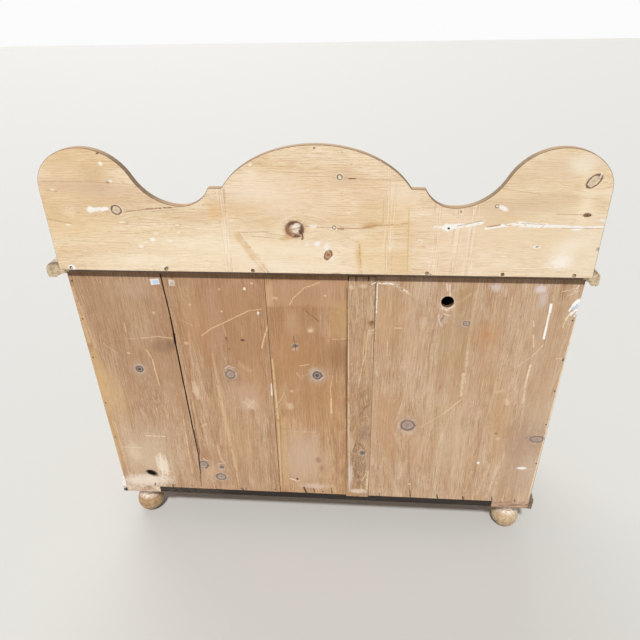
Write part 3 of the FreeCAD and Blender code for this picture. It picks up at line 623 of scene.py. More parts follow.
white = (244, 240, 234)
galleryLook = {
    "grain": "xzy",
    "seed": 3.7,
    "pale": (244, 226, 198),
    "deep": (232, 207, 171),
    "late": (200, 164, 118),
    "stain": (224, 190, 142),
    "bloom": (248, 234, 212),
    "speck": (250, 240, 224),
    "fleck": (150, 114, 78),
    "ringWidth": 3.6,
    "ringShare": 0.36,
    "streakShare": 0.5,
    "threadShare": 0.8,
    "fibreShare": 0.52,
    "cloudShare": 0.5,
    "stainShare": 0.42,
    "bloomShare": 0.3,
    "speckShare": 0.6,
    "wander": 7,
    "taper": 0.01,
    "heart": (250, 150),
    "middle": (-10.5, 241, 1090),
}
galleryFace = 250
galleryKnots = (
    # picture x and y, radius in pixels, stretch, turn, kind
    (294.6, 229.4, 9.4, 1.05, 0, "big"),
    (116, 209.8, 5.2, 1.12, -0.4, "plain"),
    (594.2, 181, 5.8, 1.6, 0.8, "plain"),
    (328, 254.8, 4, 1.5, 1.1, "red"),
    (339.5, 177, 3.1, 1, 0, "ring"),
    (334, 227.4, 2.2, 1, 0, "ring"),
    (497, 206.2, 2.2, 1.1, 0, "ring"),
    (587.2, 215, 2, 1.9, 0, "dark"),
)
galleryShades = (
    # broad tints, as spots: picture x and y, half widths, colour, share, soft, torn, turn
    (72, 180, 42, 40, (226, 192, 146), 0.42, 0.9, 0.4, 0.3),
    (88, 236, 60, 16, (230, 200, 152), 0.34, 0.9, 0.6),
    (262, 194, 34, 16, (244, 226, 206), 0.6, 0.9, 0.8),
    (330, 196, 60, 30, (236, 204, 170), 0.4, 0.95, 0.5),
    (250, 252, 110, 22, (248, 232, 206), 0.6, 0.95, 0.5),
    (540, 240, 80, 34, (238, 220, 192), 0.5, 0.95, 0.5),
    (548, 186, 60, 40, (230, 206, 164), 0.34, 0.95, 0.5, 0.4),
    (460, 240, 42, 40, (240, 214, 188), 0.4, 0.95, 0.5),
    (586, 250, 22, 26, (240, 226, 204), 0.45, 0.9, 0.6),
    (580, 168, 14, 5, (250, 240, 212), 0.5, 0.9, 0.9, -0.6),
    (586, 204, 7, 16, (248, 236, 208), 0.5, 0.9, 0.9, 0.1),
    (238.5, 238, 3, 5, (208, 164, 108), 0.5, 0.9, 1.5, 0.5),
    (246, 247, 3.4, 4.4, (206, 162, 106), 0.5, 0.9, 1.5, 0.5),
    (252, 256, 3, 5, (210, 168, 112), 0.45, 0.9, 1.5, 0.5),
    (261, 268, 4.4, 4, (200, 154, 100), 0.5, 0.9, 1.5, 0.5),
    (370, 225.6, 10, 2.8, (194, 146, 86), 0.6, 0.8, 1.4, 0.2),
    (359, 254, 3.4, 12, (214, 176, 112), 0.45, 0.9, 1.2),
    (92, 175, 15, 11, (200, 162, 112), 0.5),
    (88, 188, 46, 7, (206, 176, 150), 0.55, 0.9, 0.9, -0.1),
    (60, 160, 16, 12, (218, 190, 148), 0.5, 0.9, 0.9, 0.5),
    (110, 206, 34, 8, (206, 172, 134), 0.45),
    (52, 208, 12, 10, (212, 176, 124), 0.45),
    (72, 226, 34, 8, (222, 190, 140), 0.4),
    (186, 216, 20, 8, (216, 184, 144), 0.35),
    (238, 210, 34, 8, (216, 178, 126), 0.45, 0.9, 0.9, 0.1),
    (262, 222, 18, 7, (216, 184, 140), 0.35),
    (345, 178, 16, 8, (206, 172, 138), 0.4, 0.9, 0.8),
    (402, 198, 14, 12, (246, 232, 212), 0.6, 0.9, 0.8),
    (372, 212, 12, 12, (214, 184, 132), 0.4),
    (556, 170, 40, 12, (218, 190, 160), 0.5, 0.9, 0.9, 0.2),
    (520, 206, 50, 9, (208, 178, 146), 0.5, 0.9, 0.9, 0.1),
    (585, 163, 12, 10, (240, 232, 216), 0.5),
    (500, 222, 18, 7, (214, 180, 136), 0.4, 0.9, 0.9, 0.1),
    (560, 248, 22, 12, (226, 200, 158), 0.4),
)
galleryPatches = (
    # square-edged stains, as spots
    (398, 216, 13.5, 20, (226, 190, 132), 0.34, 0.35, 0.7),
    (397, 262, 11.5, 14, (222, 188, 130), 0.44, 0.3, 0.6),
    (372, 255, 13, 21, (232, 200, 146), 0.34, 0.5, 0.7),
    (215, 211, 6.5, 8, (220, 176, 118), 0.44, 0.6, 1),
)
galleryStrokes = (
    # picture x and y of both ends, width in pixels, colour, share, torn, bend
    (298.5, 229.5, 302.5, 240, 3, (88, 56, 40), 0.95, 0.2, -0.6),
    (287.5, 224.5, 297.5, 221.8, 2, (110, 74, 50), 0.8, 0.3, -1),
    (289, 232, 299, 234, 2.2, (150, 104, 70), 0.8, 0.4, 1),
    (291.5, 229, 300.5, 226, 1.6, (140, 98, 68), 0.6, 0.6, 1),
    (300.6, 233.8, 301.6, 238, 1.3, (220, 188, 158), 0.8, 0),
    (124, 212, 146, 208.9, 1, (160, 116, 84), 0.75, 0.4),
    (144, 208.8, 158, 208, 1.8, (150, 100, 76), 0.8, 0.8, 0.4),
    (158, 208.4, 172, 207.4, 1.9, (140, 96, 74), 0.8, 0.9, -0.4),
    (150, 211.5, 176, 209.5, 0.9, (178, 136, 98), 0.6, 0.8),
    (40, 181, 84, 181.5, 1.1, (190, 154, 112), 0.6, 0.6, 0.5),
    (84, 181.5, 130, 184, 1, (190, 154, 112), 0.6, 0.7, -0.5),
    (42, 217.5, 72, 223.5, 1, (176, 140, 100), 0.6, 0.7, 0.4),
    (46, 190, 58, 191.5, 1.2, (180, 142, 98), 0.6, 0.8),
    (68, 240, 132, 243, 1, (196, 160, 116), 0.45, 0.7, 0.7),
    (132, 199, 206, 196, 1, (200, 162, 118), 0.4, 0.6, -1),
    (118, 233, 158, 230, 1.3, (206, 176, 120), 0.5, 0.6, 2),
    (270, 171, 330, 174, 1, (190, 150, 108), 0.5, 0.6, 0.6),
    (340, 177.6, 430, 181, 1, (186, 144, 108), 0.5, 0.7, 0.4),
    (300, 176, 336, 177, 0.9, (186, 144, 108), 0.5, 0.5),
    (348, 178.6, 356, 178.4, 1.5, (120, 86, 64), 0.9, 0.2),
    (304, 226.2, 333, 227.6, 1, (170, 128, 96), 0.6, 0.6, 0.4),
    (336, 227.8, 362, 228.6, 1.2, (170, 126, 92), 0.7),
    (337, 228.6, 344, 228.8, 1.7, (140, 100, 74), 0.7, 0.4),
    (236, 232, 270, 231.4, 0.9, (170, 136, 100), 0.6, 0.5, 0.8),
    (250, 236, 284, 239.5, 0.9, (176, 142, 106), 0.5, 0.6, -1),
    (262, 231.5, 288, 236, 0.9, (170, 136, 100), 0.5, 0.5, 1),
    (236, 232.5, 249, 249.5, 6, (218, 180, 130), 0.4, 1.7, 0.5),
    (247, 246, 268, 273, 6.4, (220, 184, 134), 0.4, 1.7, -0.4),
    (237.5, 231.5, 251, 248.5, 1.1, (176, 132, 86), 0.45, 1.6, 0.8),
    (246, 251, 266, 273.5, 1.1, (176, 132, 86), 0.45, 1.6, 0.6),
    (262, 264, 269.5, 274, 2.2, (180, 134, 84), 0.6, 0.7),
    (361.6, 228, 379, 224.6, 2.2, (176, 128, 76), 0.7, 1, 0.3),
    (376, 225.4, 412, 222.8, 2, (190, 144, 88), 0.55, 1.2, 0.5),
    (384, 196, 382.5, 226, 1.6, (212, 170, 108), 0.55, 0.9),
    (359.2, 243, 361.8, 276, 1.6, (176, 128, 78), 0.55, 1.2, 0.4),
    (358, 250, 359.5, 274, 3.4, (214, 172, 112), 0.4),
    (409, 206, 407, 275, 1.5, (206, 166, 106), 0.5, 0.9),
    (386, 236, 385, 275, 1.2, (206, 166, 106), 0.45, 0.9),
    (433, 226.4, 450, 227.6, 2.6, white, 0.9, 1.1),
    (444, 228, 464, 225.2, 5, white, 0.97, 0.9),
    (447, 224.6, 462, 223.6, 1.6, white, 0.85, 1.4, 0.4),
    (460, 226.4, 485, 221.6, 3.4, white, 0.95, 0.9),
    (466, 227, 482, 223.8, 1.4, white, 0.8, 1.5),
    (456, 226.2, 484, 220.4, 0.9, (134, 108, 92), 0.7, 1),
    (484, 228.6, 503, 225.6, 3.4, white, 0.9, 0.9),
    (486, 227, 508, 223.6, 1.5, (160, 112, 72), 0.8, 0.8),
    (500, 225.4, 522, 222.6, 4, white, 0.95, 0.9, 0.4),
    (516, 222.8, 548, 225.4, 5, white, 0.97, 0.8, 0.3),
    (518, 226.6, 540, 227.4, 1.5, white, 0.8, 1.4),
    (520, 223, 560, 225.4, 0.9, (134, 118, 110), 0.6, 1.2, 0.3),
    (544, 225.6, 582, 227.4, 3.6, white, 0.95, 0.8),
    (572, 228.4, 584, 228, 5, white, 0.9, 1.1),
    (580, 227.4, 605, 226.6, 2.2, white, 0.9, 1),
    (560, 227.9, 604, 228.4, 0.8, (146, 108, 80), 0.6, 1),
    (600, 219.5, 606, 221, 2, white, 0.85, 0.9),
    (501, 256, 507, 257, 1.1, white, 0.85),
    (522, 268.5, 536, 269, 0.9, white, 0.6, 0.8),
    (556, 213.6, 586, 214.8, 0.9, (170, 130, 96), 0.6),
    (500, 188, 560, 196, 1, (196, 162, 120), 0.5, 0.7, 1.2),
    (560, 196, 600, 199, 1, (196, 162, 120), 0.4, 0.7, 0.6),
    (470, 200, 540, 204, 1, (200, 166, 126), 0.4, 0.7, 1.2),
    (600, 178, 603, 172, 2, white, 0.7, 0.9),
)
gallerySpots = (
    # small marks, as spots
    (97, 209, 10.5, 2, white, 0.9, 0.3, 2.6),
    (90.5, 209.6, 4.4, 3, white, 0.92, 0.3, 1.6),
    (104.5, 208.6, 3.2, 2, white, 0.85, 0.3, 1.6),
    (71.7, 267.2, 4, 3, white, 0.95, 0.25, 0.6),
    (100, 163.2, 2.2, 1.9, (252, 240, 222), 0.9, 0.5, 1.2),
    (106.5, 156, 2, 1.2, (250, 238, 218), 0.6, 0.5, 1.2),
    (110.4, 180.8, 1.8, 1.5, white, 0.75, 0.4, 1.2),
    (107.5, 182.4, 2.2, 1, (150, 112, 78), 0.6, 0.4, 1.2),
    (52, 189.6, 2.4, 1.2, (246, 232, 204), 0.6, 0.4, 1.2),
    (68, 224.6, 2.6, 1, (250, 240, 220), 0.7, 0.4, 1.4),
    (152.6, 239.4, 3, 2.2, white, 0.9, 0.4, 1.2),
    (141, 246, 2.6, 1.6, (248, 236, 216), 0.8, 0.4, 1.2),
    (146.5, 242, 2, 1, (248, 236, 216), 0.6, 0.4, 1.2),
    (170, 240.8, 2.4, 1.4, (248, 236, 216), 0.7, 0.4, 1.2),
    (156, 233.2, 3, 1, (248, 236, 216), 0.6, 0.5, 1.2),
    (178.4, 232.4, 2.2, 1.1, (248, 236, 216), 0.6, 0.5, 1.2),
    (177, 225, 3.6, 1.6, (196, 160, 118), 0.6, 0.4),
    (177, 225, 2.6, 1, (248, 238, 218), 0.8, 0.4),
    (124, 222.4, 6.4, 1.8, (204, 168, 120), 0.6, 0.4, 1.6),
    (122, 222, 3.6, 1, (250, 240, 220), 0.7, 0.4, 1.8),
    (140.5, 219, 4, 1.4, (212, 178, 130), 0.5, 0.5, 1.8),
    (536.4, 247, 4.4, 1.6, white, 0.8, 0.4, 1),
    (537, 246.8, 1.8, 0.8, (120, 94, 72), 0.8, 0.4, 0.8, 0.2),
    (419.8, 241, 2.6, 2.2, (240, 226, 204), 0.8, 0.4, 1),
    (419.6, 241.6, 1, 0.8, (180, 150, 120), 0.7, 0.4, 0.8),
    (447.4, 227.4, 5, 4, white, 0.97, 0.3, 1.6),
    (448.6, 228.3, 1.3, 1.2, (36, 28, 24), 0.97, 0.3, 0.5),
    (503.5, 208.2, 5.2, 2.2, white, 0.9, 0.4, 1.4, -0.4),
    (461, 211.6, 0.9, 1, (90, 64, 48), 0.8, 0.4, 0.5),
    (312.8, 226.2, 3.4, 1.8, white, 0.7, 0.4, 1.4),
    (317.2, 243.6, 3.2, 2.4, white, 0.9, 0.5, 1.6),
    (307.4, 244.4, 2, 1.2, white, 0.75, 0.5, 1.6),
    (286.5, 237.5, 6, 3, (208, 164, 118), 0.6, 0.6, 1.4, 0.3),
    (288.5, 230.5, 3.6, 5, (160, 112, 76), 0.6, 0.5, 1.2, 0.2),
    (296.5, 225.6, 4, 2.6, (240, 228, 210), 0.8, 0.4, 1.2, 0.2),
    (327, 246.6, 3, 4, white, 0.6, 0.5, 2),
    (332, 259, 3, 2.4, (242, 230, 214), 0.6, 0.5, 2),
    (560, 262, 11, 7, (252, 244, 236), 0.7, 0.8, 1.4, 0.2),
    (566, 248, 16, 8, (248, 238, 222), 0.5, 0.9, 1.4, 0.3),
    (300, 268, 60, 5, (250, 236, 214), 0.4, 0.8, 1.4),
    (126, 262, 40, 8, (248, 232, 206), 0.45, 0.9, 1.4),
    (426.6, 273.8, 1.5, 0.9, (90, 68, 52), 0.9, 0.4, 1),
    (430.5, 274.2, 1.5, 0.6, (120, 92, 70), 0.7, 0.4, 1),
    (166.4, 267.6, 2.4, 1.5, (110, 94, 80), 0.85, 0.4, 1.8, 0.2),
    (163.5, 266.4, 2, 1.2, (250, 240, 222), 0.7, 0.5, 1.2),
    (253.2, 271.2, 1.8, 0.8, (120, 96, 76), 0.6, 0.4, 1.4),
    (336, 273.4, 4.5, 0.9, (170, 140, 108), 0.6, 0.4, 1.8),
    (574.4, 275.8, 1.6, 1, (50, 40, 34), 0.95, 0.4, 0.8, 0.3),
    (503, 274.6, 1.4, 0.9, (90, 68, 52), 0.8, 0.4, 0.8, 0.2),
    (500.4, 274.8, 1.8, 1.2, (250, 242, 228), 0.8, 0.4, 1),
    (97.2, 152.8, 2, 0.9, (100, 76, 54), 0.9, 0.4, 0.8, 0.3),
    (314, 147.8, 1.2, 0.9, (80, 58, 42), 0.9, 0.4, 0.6),
    (250, 164.6, 2, 1.4, (250, 240, 220), 0.7, 0.5, 1.2, 0.5),
    (598.5, 249, 2.4, 2, (120, 92, 68), 0.7, 0.5, 2.2),
    (603, 262, 1.4, 9, (120, 92, 68), 0.6, 0.5, 2.2, -0.2),
    (224, 196, 1.4, 9, (196, 154, 108), 0.5, 0.5, 1.8),
)
hatch = {
    # columns of fine scores that the saw left across the grain
    "columns": (436, 456, 471, 226, 389),      # picture x
    "level": 240,                              # picture y
    "score": 2.2,
    "run": 90,
    "outer": 6.5,                              # pixels
    "inner": 3,
    "pale": (252, 238, 222),
    "dark": (196, 158, 126),
}
gallerySawnEdgeAndShade = {
    # the sawn edge is painted darker than the face, partly its own tone and partly painted shade against the
    # stronger light on it, and darker still where it faces up; where it slopes it is painted darker as shade,
    # and its corner is darker brown
    "edge": (0.3, 0.15),
    "share": 0.85,
    "face": (206, 172, 126),
    "top": ((0.2, 0.7, 0.9, (158, 130, 98)),),
    "sloping": (0.99, 0.8),
    "shadedSlope": ((0.28, 0.5, 0.75, (116, 94, 74)),),
    "cornerOut": (0.97, 0.8),
    "cornerIn": (0.3, 0.45),
    "corner": ((0.26, 0.42, 0.9, (110, 80, 54)),),
}


def drawHatch(board):
    f = board.f
    scores = f.noise(f.vector(board.x / hatch["score"], board.z / hatch["run"], 4), 1)
    for px in hatch["columns"]:
        x, z, pixel = boardPlace((px, hatch["level"]), galleryFace)
        column = f.fade(abs(board.x - x), hatch["outer"] * pixel, hatch["inner"] * pixel)
        column = column * f.fade(board.ragged, 0.36, 0.52)
        board.lay(column * f.fade(scores, 0.5, 0.62, 0.42), hatch["pale"])
        board.lay(column * f.fade(scores, 0.46, 0.36, 0.4), hatch["dark"])


def galleryFinish():
    look = galleryLook | {"knots": [knotPlace(galleryLook, galleryFace, knot) for knot in galleryKnots]}
    board = Board("galleryPine", look)
    f = board.f
    bare = board.colour
    drawMarks(board, galleryFace, (), galleryShades)
    drawMarks(board, galleryFace, (), galleryPatches, True)
    drawHatch(board)
    drawKnots(board, galleryFace, galleryKnots)
    drawMarks(board, galleryFace, galleryStrokes, gallerySpots)
    board.keepTo(galleryFace, bare)
    outward, upright = board.normal[1:]
    edge = f.fade(abs(outward), *gallerySawnEdgeAndShade["edge"])
    shadedSlope = f.fade(abs(upright), *gallerySawnEdgeAndShade["sloping"])
    # painted shade on the sawn edge, darker where it faces up and where it slopes
    board.lay(edge * gallerySawnEdgeAndShade["share"], gallerySawnEdgeAndShade["face"])
    board.tint(upright, gallerySawnEdgeAndShade["top"], edge)
    board.tint(board.ragged, gallerySawnEdgeAndShade["shadedSlope"], edge * shadedSlope)
    corner = f.fade(abs(outward), *gallerySawnEdgeAndShade["cornerOut"]) * f.fade(abs(outward), *gallerySawnEdgeAndShade["cornerIn"])
    board.tint(board.ragged, gallerySawnEdgeAndShade["corner"], corner)
    return board.finished()


# Back boards

backPine = {
    "grain": "zxy",
    "pale": (207, 174, 140),
    "deep": (188, 148, 112),
    "late": (150, 108, 74),
    "stain": (168, 128, 90),
    "bloom": (216, 188, 162),
    "speck": (236, 214, 188),
    "fleck": (122, 88, 62),
    "ringWidth": 4.2,
    "upper": (246, 243, 240),    # how much darker the boards are near the top
    "ringShare": 0.36,
    "streakShare": 0.4,
    "threadShare": 0.76,
    "fibreShare": 0.4,
    "cloudShare": 0.36,
    "stainShare": 0.34,
    "bloomShare": 0.34,
    "speckShare": 0.6,
    "wander": 16,
    "sawn": 0.1,
}
backFace = 232
stripFace = 235
darkerUp = (520, 800)            # heights between which the boards get darker
scratch = (226, 190, 146)
slit = (58, 42, 32)
gapDark = (30, 22, 17)
galleryShadowPaint = {"low": 911.5, "high": 914.5, "tone": (178, 170, 164), "share": 0.9}     # painted shadow of the gallery
jointSidesAndShade = {
    # the boards' sawn sides: colours, the dark ones painted shade inside the joints, cracks and holes, then
    # between which sizes or places each of them starts and is whole
    "side": (214, 186, 150),
    "sideShare": 0.4,
    "dark": (20, 15, 12),
    "tight": (176, 134, 96),
    "crack": (104, 78, 58),
    "crackShare": 0.8,
    "hole": (112, 84, 62),
    "inX": (640, 632),
    "inZ": (386, 380),
    "tightX": (60, 30),
    "crackZ": (420, 300),
    "holeZ": (560, 600),
}
firstGap = (
    # the open joint and the crack that it runs out into, as strokes
    (159.6, 272, 170.2, 316.5, 1.5, gapDark, 0.95, 0),
    (170, 316, 174.6, 338, 1.7, gapDark, 0.95, 0),
    (173.9, 333, 175.2, 344, 2.6, gapDark, 0.95, 0),
    (174.9, 342, 184.8, 390, 1.3, gapDark, 0.85, 0, 0.2),
    (193.8, 429, 199.2, 453, 1, (66, 48, 36), 0.7, 0),
    (199.3, 451, 198.2, 459, 1.2, (66, 48, 36), 0.7, 0),
    (198.2, 458, 200.8, 474, 1.6, (84, 62, 50), 0.7, 0.3),
    (200.6, 472, 201.2, 487, 1, (110, 80, 58), 0.6, 0.3),
)
# each back board and the strip have their own marks, with the gallery's columns; arches have
# picture x and y, half widths, turn, number of rings, colour and share
rightEnd = {
    "look": {"seed": 11.3, "middle": (520, 226, 534), "heart": (-10, 60), "taper": 0.05,
             "pale": (204, 172, 140), "deep": (186, 148, 114)},
    "knots": ((139.5, 368.8, 4.2, 1, 0, "eye"),),
    "arches": (
        (152, 388, 9.5, 32, 0.14, 3, (150, 112, 80), 0.42),
        (157.5, 432, 4.5, 18, 0.1, 2, (156, 116, 84), 0.3),
        (139, 380, 14, 18, 0.1, 3, (160, 120, 86), 0.2),
    ),
    "patches": (
        (154.6, 281.6, 4.6, 3.2, (232, 232, 230), 0.92, 0.12, 0.5, 0.12),
        (155.4, 281.8, 2.8, 1.8, (176, 204, 232), 0.8, 0.3, 0.5, 0.12),
    ),
    "strokes": firstGap + (
        (70, 284, 90, 345, 5, (220, 184, 140), 0.6, 0.5),
        (90, 345, 122, 470, 11, (212, 174, 122), 0.5, 0.4),
        (78, 300, 96, 350, 2, (226, 190, 142), 0.5),
        (98, 290, 112, 345, 10, (180, 138, 98), 0.3, 0.7),
        (140, 338.2, 158, 336, 1.3, (222, 190, 156), 0.75, 0.7, 0.5),
        (157, 336.2, 173, 338.4, 1.3, (222, 190, 156), 0.75),
        (102, 342, 118, 354, 1.2, (214, 180, 142), 0.5, 0.7, 0.6),
        (145, 349, 152, 359, 1.4, (222, 188, 148), 0.8, 0.3, -0.6),
        (152, 358, 155.5, 372, 1.6, (226, 192, 150), 0.85, 0.2),
        (155.3, 371, 159.5, 386, 1.3, (226, 192, 150), 0.8, 0.4),
        (124, 322, 126, 332, 1.4, (220, 188, 150), 0.6, 0.5),
        (103, 312, 110, 346, 1.2, (158, 118, 82), 0.5, 0.6, 0.8),
        (164, 404, 168, 420, 1.2, (214, 180, 142), 0.6, 0.3),
        (183, 418, 189, 455, 2, (220, 186, 146), 0.7),
        (188, 452, 193, 474, 1.8, (216, 182, 142), 0.6),
        (170, 458, 175, 480, 1.8, (216, 186, 150), 0.6, 0.8),
        (144, 435.6, 166, 436.4, 1.3, (236, 216, 192), 0.7, 1.1),
        (120, 446.8, 143, 447.6, 1.1, (230, 208, 182), 0.65, 1),
        (160, 452, 163, 478, 1.6, (240, 224, 206), 0.75, 1),
        (165, 454, 168, 476, 1.4, (240, 224, 206), 0.7, 1.1),
        (156, 455, 159, 474, 1.2, (236, 218, 196), 0.6, 1.1),
        (108, 412, 128, 478, 1, (168, 126, 80), 0.5, 0.6, 0.3),
        (114, 420, 131, 480, 1, (236, 206, 160), 0.5, 0.6, 0.3),
        (155.5, 482.5, 155, 491, 1.8, slit, 0.85, 0.2),
        (172.5, 484, 173.5, 488, 1.6, slit, 0.8, 0),
        (128, 485.5, 142, 487, 1.8, (246, 238, 228), 0.8, 1.2),
    ),
    "spots": (
        (158, 365, 30, 30, (166, 126, 92), 0.42, 0.8, 0.5, 0.2),
        (163, 346.5, 11, 7.5, (148, 114, 86), 0.62, 0.45, 0.6),
        (171, 344, 4, 6, (132, 100, 76), 0.5, 0.5, 0.6),
        (122, 310, 30, 30, (176, 142, 106), 0.3, 0.9, 0.8),
        (105, 385, 14, 40, (212, 176, 124), 0.45, 0.8, 0.5, 0.26),
        (139.5, 369.5, 9, 9.5, (186, 160, 134), 0.5, 0.7, 0.6),
        (150, 455, 24, 34, (222, 200, 174), 0.5, 0.9, 0.9, 0.2),
        (163, 465, 5.5, 13, (242, 228, 210), 0.7, 0.5, 1.8, 0.1),
        (146, 480, 24, 7.5, (240, 226, 210), 0.75, 0.6, 1.8, 0.1),
        (135, 452, 6, 12, (228, 206, 180), 0.45, 0.8, 1.6, 0.1),
        (153.5, 312.6, 1.5, 1.3, (226, 190, 140), 0.8, 0.4, 0.8),
        (128.5, 353, 1.8, 1, (228, 194, 150), 0.8, 0.4, 0.8),
        (132, 338.5, 5, 0.8, (214, 180, 140), 0.5, 0.4, 0.8),
        (151.8, 472.4, 5.6, 3.5, (22, 16, 13), 0.98, 0.25, 0.8, -0.3),
        (154.5, 474.8, 4, 1.8, (92, 74, 62), 0.7, 0.6, 0.9, -0.2),
        (137, 290, 12, 10, (198, 168, 146), 0.4, 0.9, 1.2),
    ),
}
rightMiddle = {
    "look": {"seed": 23.9, "middle": (253, 226, 534), "heart": (60, 80), "taper": 0.03,
             "upper": (240, 235, 230)},
    "knots": (
        (230.2, 374.2, 6, 0.85, 0, "grey"),
        (203.6, 464.6, 5.2, 1, 0.4, "grey"),
        (221.2, 476.6, 4.9, 1.1, 0, "grey"),
        (221.8, 466.8, 2, 1.3, 0, "eye"),
    ),
    "arches": (
        (228.5, 352, 7, 26, 0.05, 2, (154, 110, 76), 0.3),
        (222, 466, 12, 24, 0.1, 2, (156, 112, 78), 0.25),
    ),
    "patches": (
        (171.4, 282.6, 2.8, 3.5, (226, 218, 208), 0.8, 0.2),
        (171.8, 283.4, 1.5, 2, (184, 160, 138), 0.7, 0.3),
        (161.6, 282.4, 0.9, 1.9, (230, 216, 200), 0.8, 0.3, 0.5),
    ),
    "strokes": firstGap + (
        (201, 335.8, 211, 328.3, 1.2, scratch, 0.85, 0.4, 0.2),
        (210, 328.8, 231, 319, 1.3, scratch, 0.85, 0.4, 0.3),
        (230, 319.4, 249, 310.3, 1.3, scratch, 0.8, 0.4, 0.2),
        (248, 310.6, 262, 308.8, 1.2, scratch, 0.7, 0.6, 0.3),
        (179, 319, 193, 325.5, 1, (216, 180, 142), 0.5, 0.6, 0.6),
        (222, 323, 226.5, 336, 1.2, (198, 166, 140), 0.6, 0.6, 0.3),
        (241, 325, 242, 337, 1, (210, 178, 146), 0.5),
        (227, 338, 228.5, 364, 1.3, (140, 102, 76), 0.45, 0.6, 0.3),
        (269.4, 320, 261.2, 349, 1.7, (228, 194, 148), 0.85, 0.4, 0.3),
        (224, 368.5, 229, 365.2, 1.4, (214, 198, 184), 0.8, 0.4, 0.6),
        (228.5, 365.4, 235, 368, 1.3, (206, 188, 172), 0.7, 0.5, 0.5),
        (226, 381.5, 237, 379.5, 1.2, (132, 100, 78), 0.55, 0.4, -0.8),
        (238, 362, 252, 372, 6, (206, 170, 134), 0.4, 0.6, 0.3),
        (188, 330, 195, 388, 1.7, (212, 176, 138), 0.5, 0.7),
        (212, 352, 219, 386, 2.6, (212, 174, 134), 0.5, 0.7, 0.2),
        (218, 384, 223, 412, 3.6, (216, 180, 140), 0.6, 0.5),
        (222.5, 410, 230, 442, 3.6, (218, 184, 144), 0.6, 0.5),
        (229.5, 440, 237, 472, 2.8, (214, 180, 142), 0.55),
        (217, 445, 222, 462, 1.8, (222, 188, 150), 0.55, 0.6, 0.3),
        (193, 380, 199, 400, 5, (220, 192, 160), 0.5, 1),
        (189, 396, 199.6, 452, 0.8, (116, 82, 58), 0.7, 0.3),
        (192, 400, 200.2, 440, 1.6, (214, 178, 140), 0.5, 0.5),
        (203, 458, 209, 461, 1.2, (226, 206, 190), 0.8, 0.5, 0.8),
        (200.5, 466, 206, 468.5, 1.2, (222, 200, 182), 0.7, 0.6, -0.8),
        (205, 469, 210, 465, 1, (110, 80, 66), 0.6, 0.5),
        (217, 463.5, 226, 462.5, 1, (222, 204, 188), 0.7, 0.8, 0.8),
        (218, 469.6, 225, 470.2, 1, (222, 204, 188), 0.7, 0.8, -0.8),
        (236, 470, 239, 486, 1.6, (222, 190, 152), 0.6, 0.7),
        (242, 401, 256, 410, 1, (228, 204, 180), 0.6, 1, 0.4),
        (247, 408, 255, 399, 1, (228, 204, 180), 0.6, 1, 0.3),
        (244, 398, 256, 403, 1, (226, 202, 178), 0.5, 1),
        (271.4, 383, 271.8, 396, 2, (236, 226, 218), 0.85, 0.5),
        (174.5, 484, 175.5, 491, 1.6, slit, 0.85, 0.2),
        (191.3, 485.5, 192.6, 492, 2.2, slit, 0.85, 0.3),
        (216.6, 488, 217.4, 494, 1.7, slit, 0.8, 0.2),
        (243.2, 488.5, 243.4, 494, 1.5, slit, 0.85, 0.2),
        (241, 487.5, 242, 489.5, 2, slit, 0.7, 0),
        (246, 489, 245.8, 492, 1.2, slit, 0.7, 0),
    ),
    "spots": (
        (214, 318, 9, 36, (184, 152, 126), 0.42, 0.8, 0.6),
        (232, 312, 28, 40, (176, 130, 92), 0.42, 0.9, 0.6),
        (200, 338, 14, 26, (182, 134, 94), 0.4, 0.9, 0.7, 0.1),
        (258, 378, 16, 38, (180, 130, 86), 0.42, 0.9, 0.7, 0.1),
        (246, 300, 22, 22, (180, 136, 100), 0.42, 0.9, 0.6),
        (192, 312, 14, 34, (192, 150, 112), 0.35, 0.9, 0.6, 0.1),
        (246, 348, 18, 18, (170, 126, 88), 0.5, 0.9, 0.8),
        (218, 364, 8, 18, (168, 124, 88), 0.4, 0.8, 0.8, 0.1),
        (231.5, 375, 10, 12, (172, 136, 108), 0.5, 0.6, 0.6),
        (242, 396, 16, 14, (200, 166, 140), 0.5, 0.9, 0.8),
        (250, 404.5, 7, 6, (222, 196, 170), 0.5, 0.7, 1.8, 0.3),
        (196, 391, 3, 7, (226, 202, 174), 0.6, 0.5, 1.4, 0.1),
        (205, 454, 9, 7, (170, 122, 88), 0.45, 0.8, 1, 0.2),
        (213, 472, 9, 6, (212, 172, 134), 0.45, 0.8, 1, 0.2),
        (222, 476.5, 8, 8.5, (184, 146, 118), 0.45, 0.7, 0.8),
        (240, 440, 14, 40, (206, 168, 130), 0.35, 0.9, 0.7, 0.1),
        (226, 338, 1.3, 1.5, (116, 92, 76), 0.85, 0.4, 0.8),
        (242.4, 340, 2, 1.6, (98, 72, 54), 0.9, 0.4, 1),
        (229.5, 349, 1, 1.2, (120, 88, 64), 0.6, 0.4, 1),
        (244.2, 288.6, 1.3, 1.5, (248, 236, 212), 0.95, 0.4, 0.8),
        (251.5, 283.2, 1.3, 0.9, (236, 210, 176), 0.8, 0.4, 0.8),
        (258.3, 313.4, 1.3, 2.2, (250, 240, 214), 0.95, 0.4, 0.8, 0.3),
        (259.3, 314.4, 0.8, 1.6, (110, 96, 58), 0.8, 0.4, 0.8, 0.3),
        (221.5, 311.2, 1.2, 1, (232, 198, 150), 0.8, 0.4, 0.8),
        (219, 289, 1.1, 0.9, (226, 194, 152), 0.7, 0.4, 0.8),
        (189.4, 304.4, 1.4, 1.2, (222, 186, 144), 0.7, 0.4, 0.8),
        (186, 343, 2.4, 1.8, (222, 188, 150), 0.6, 0.5, 1.4),
        (204, 425, 4, 1.3, (224, 194, 160), 0.6, 0.5, 1.4, 0.7),
    ),
}
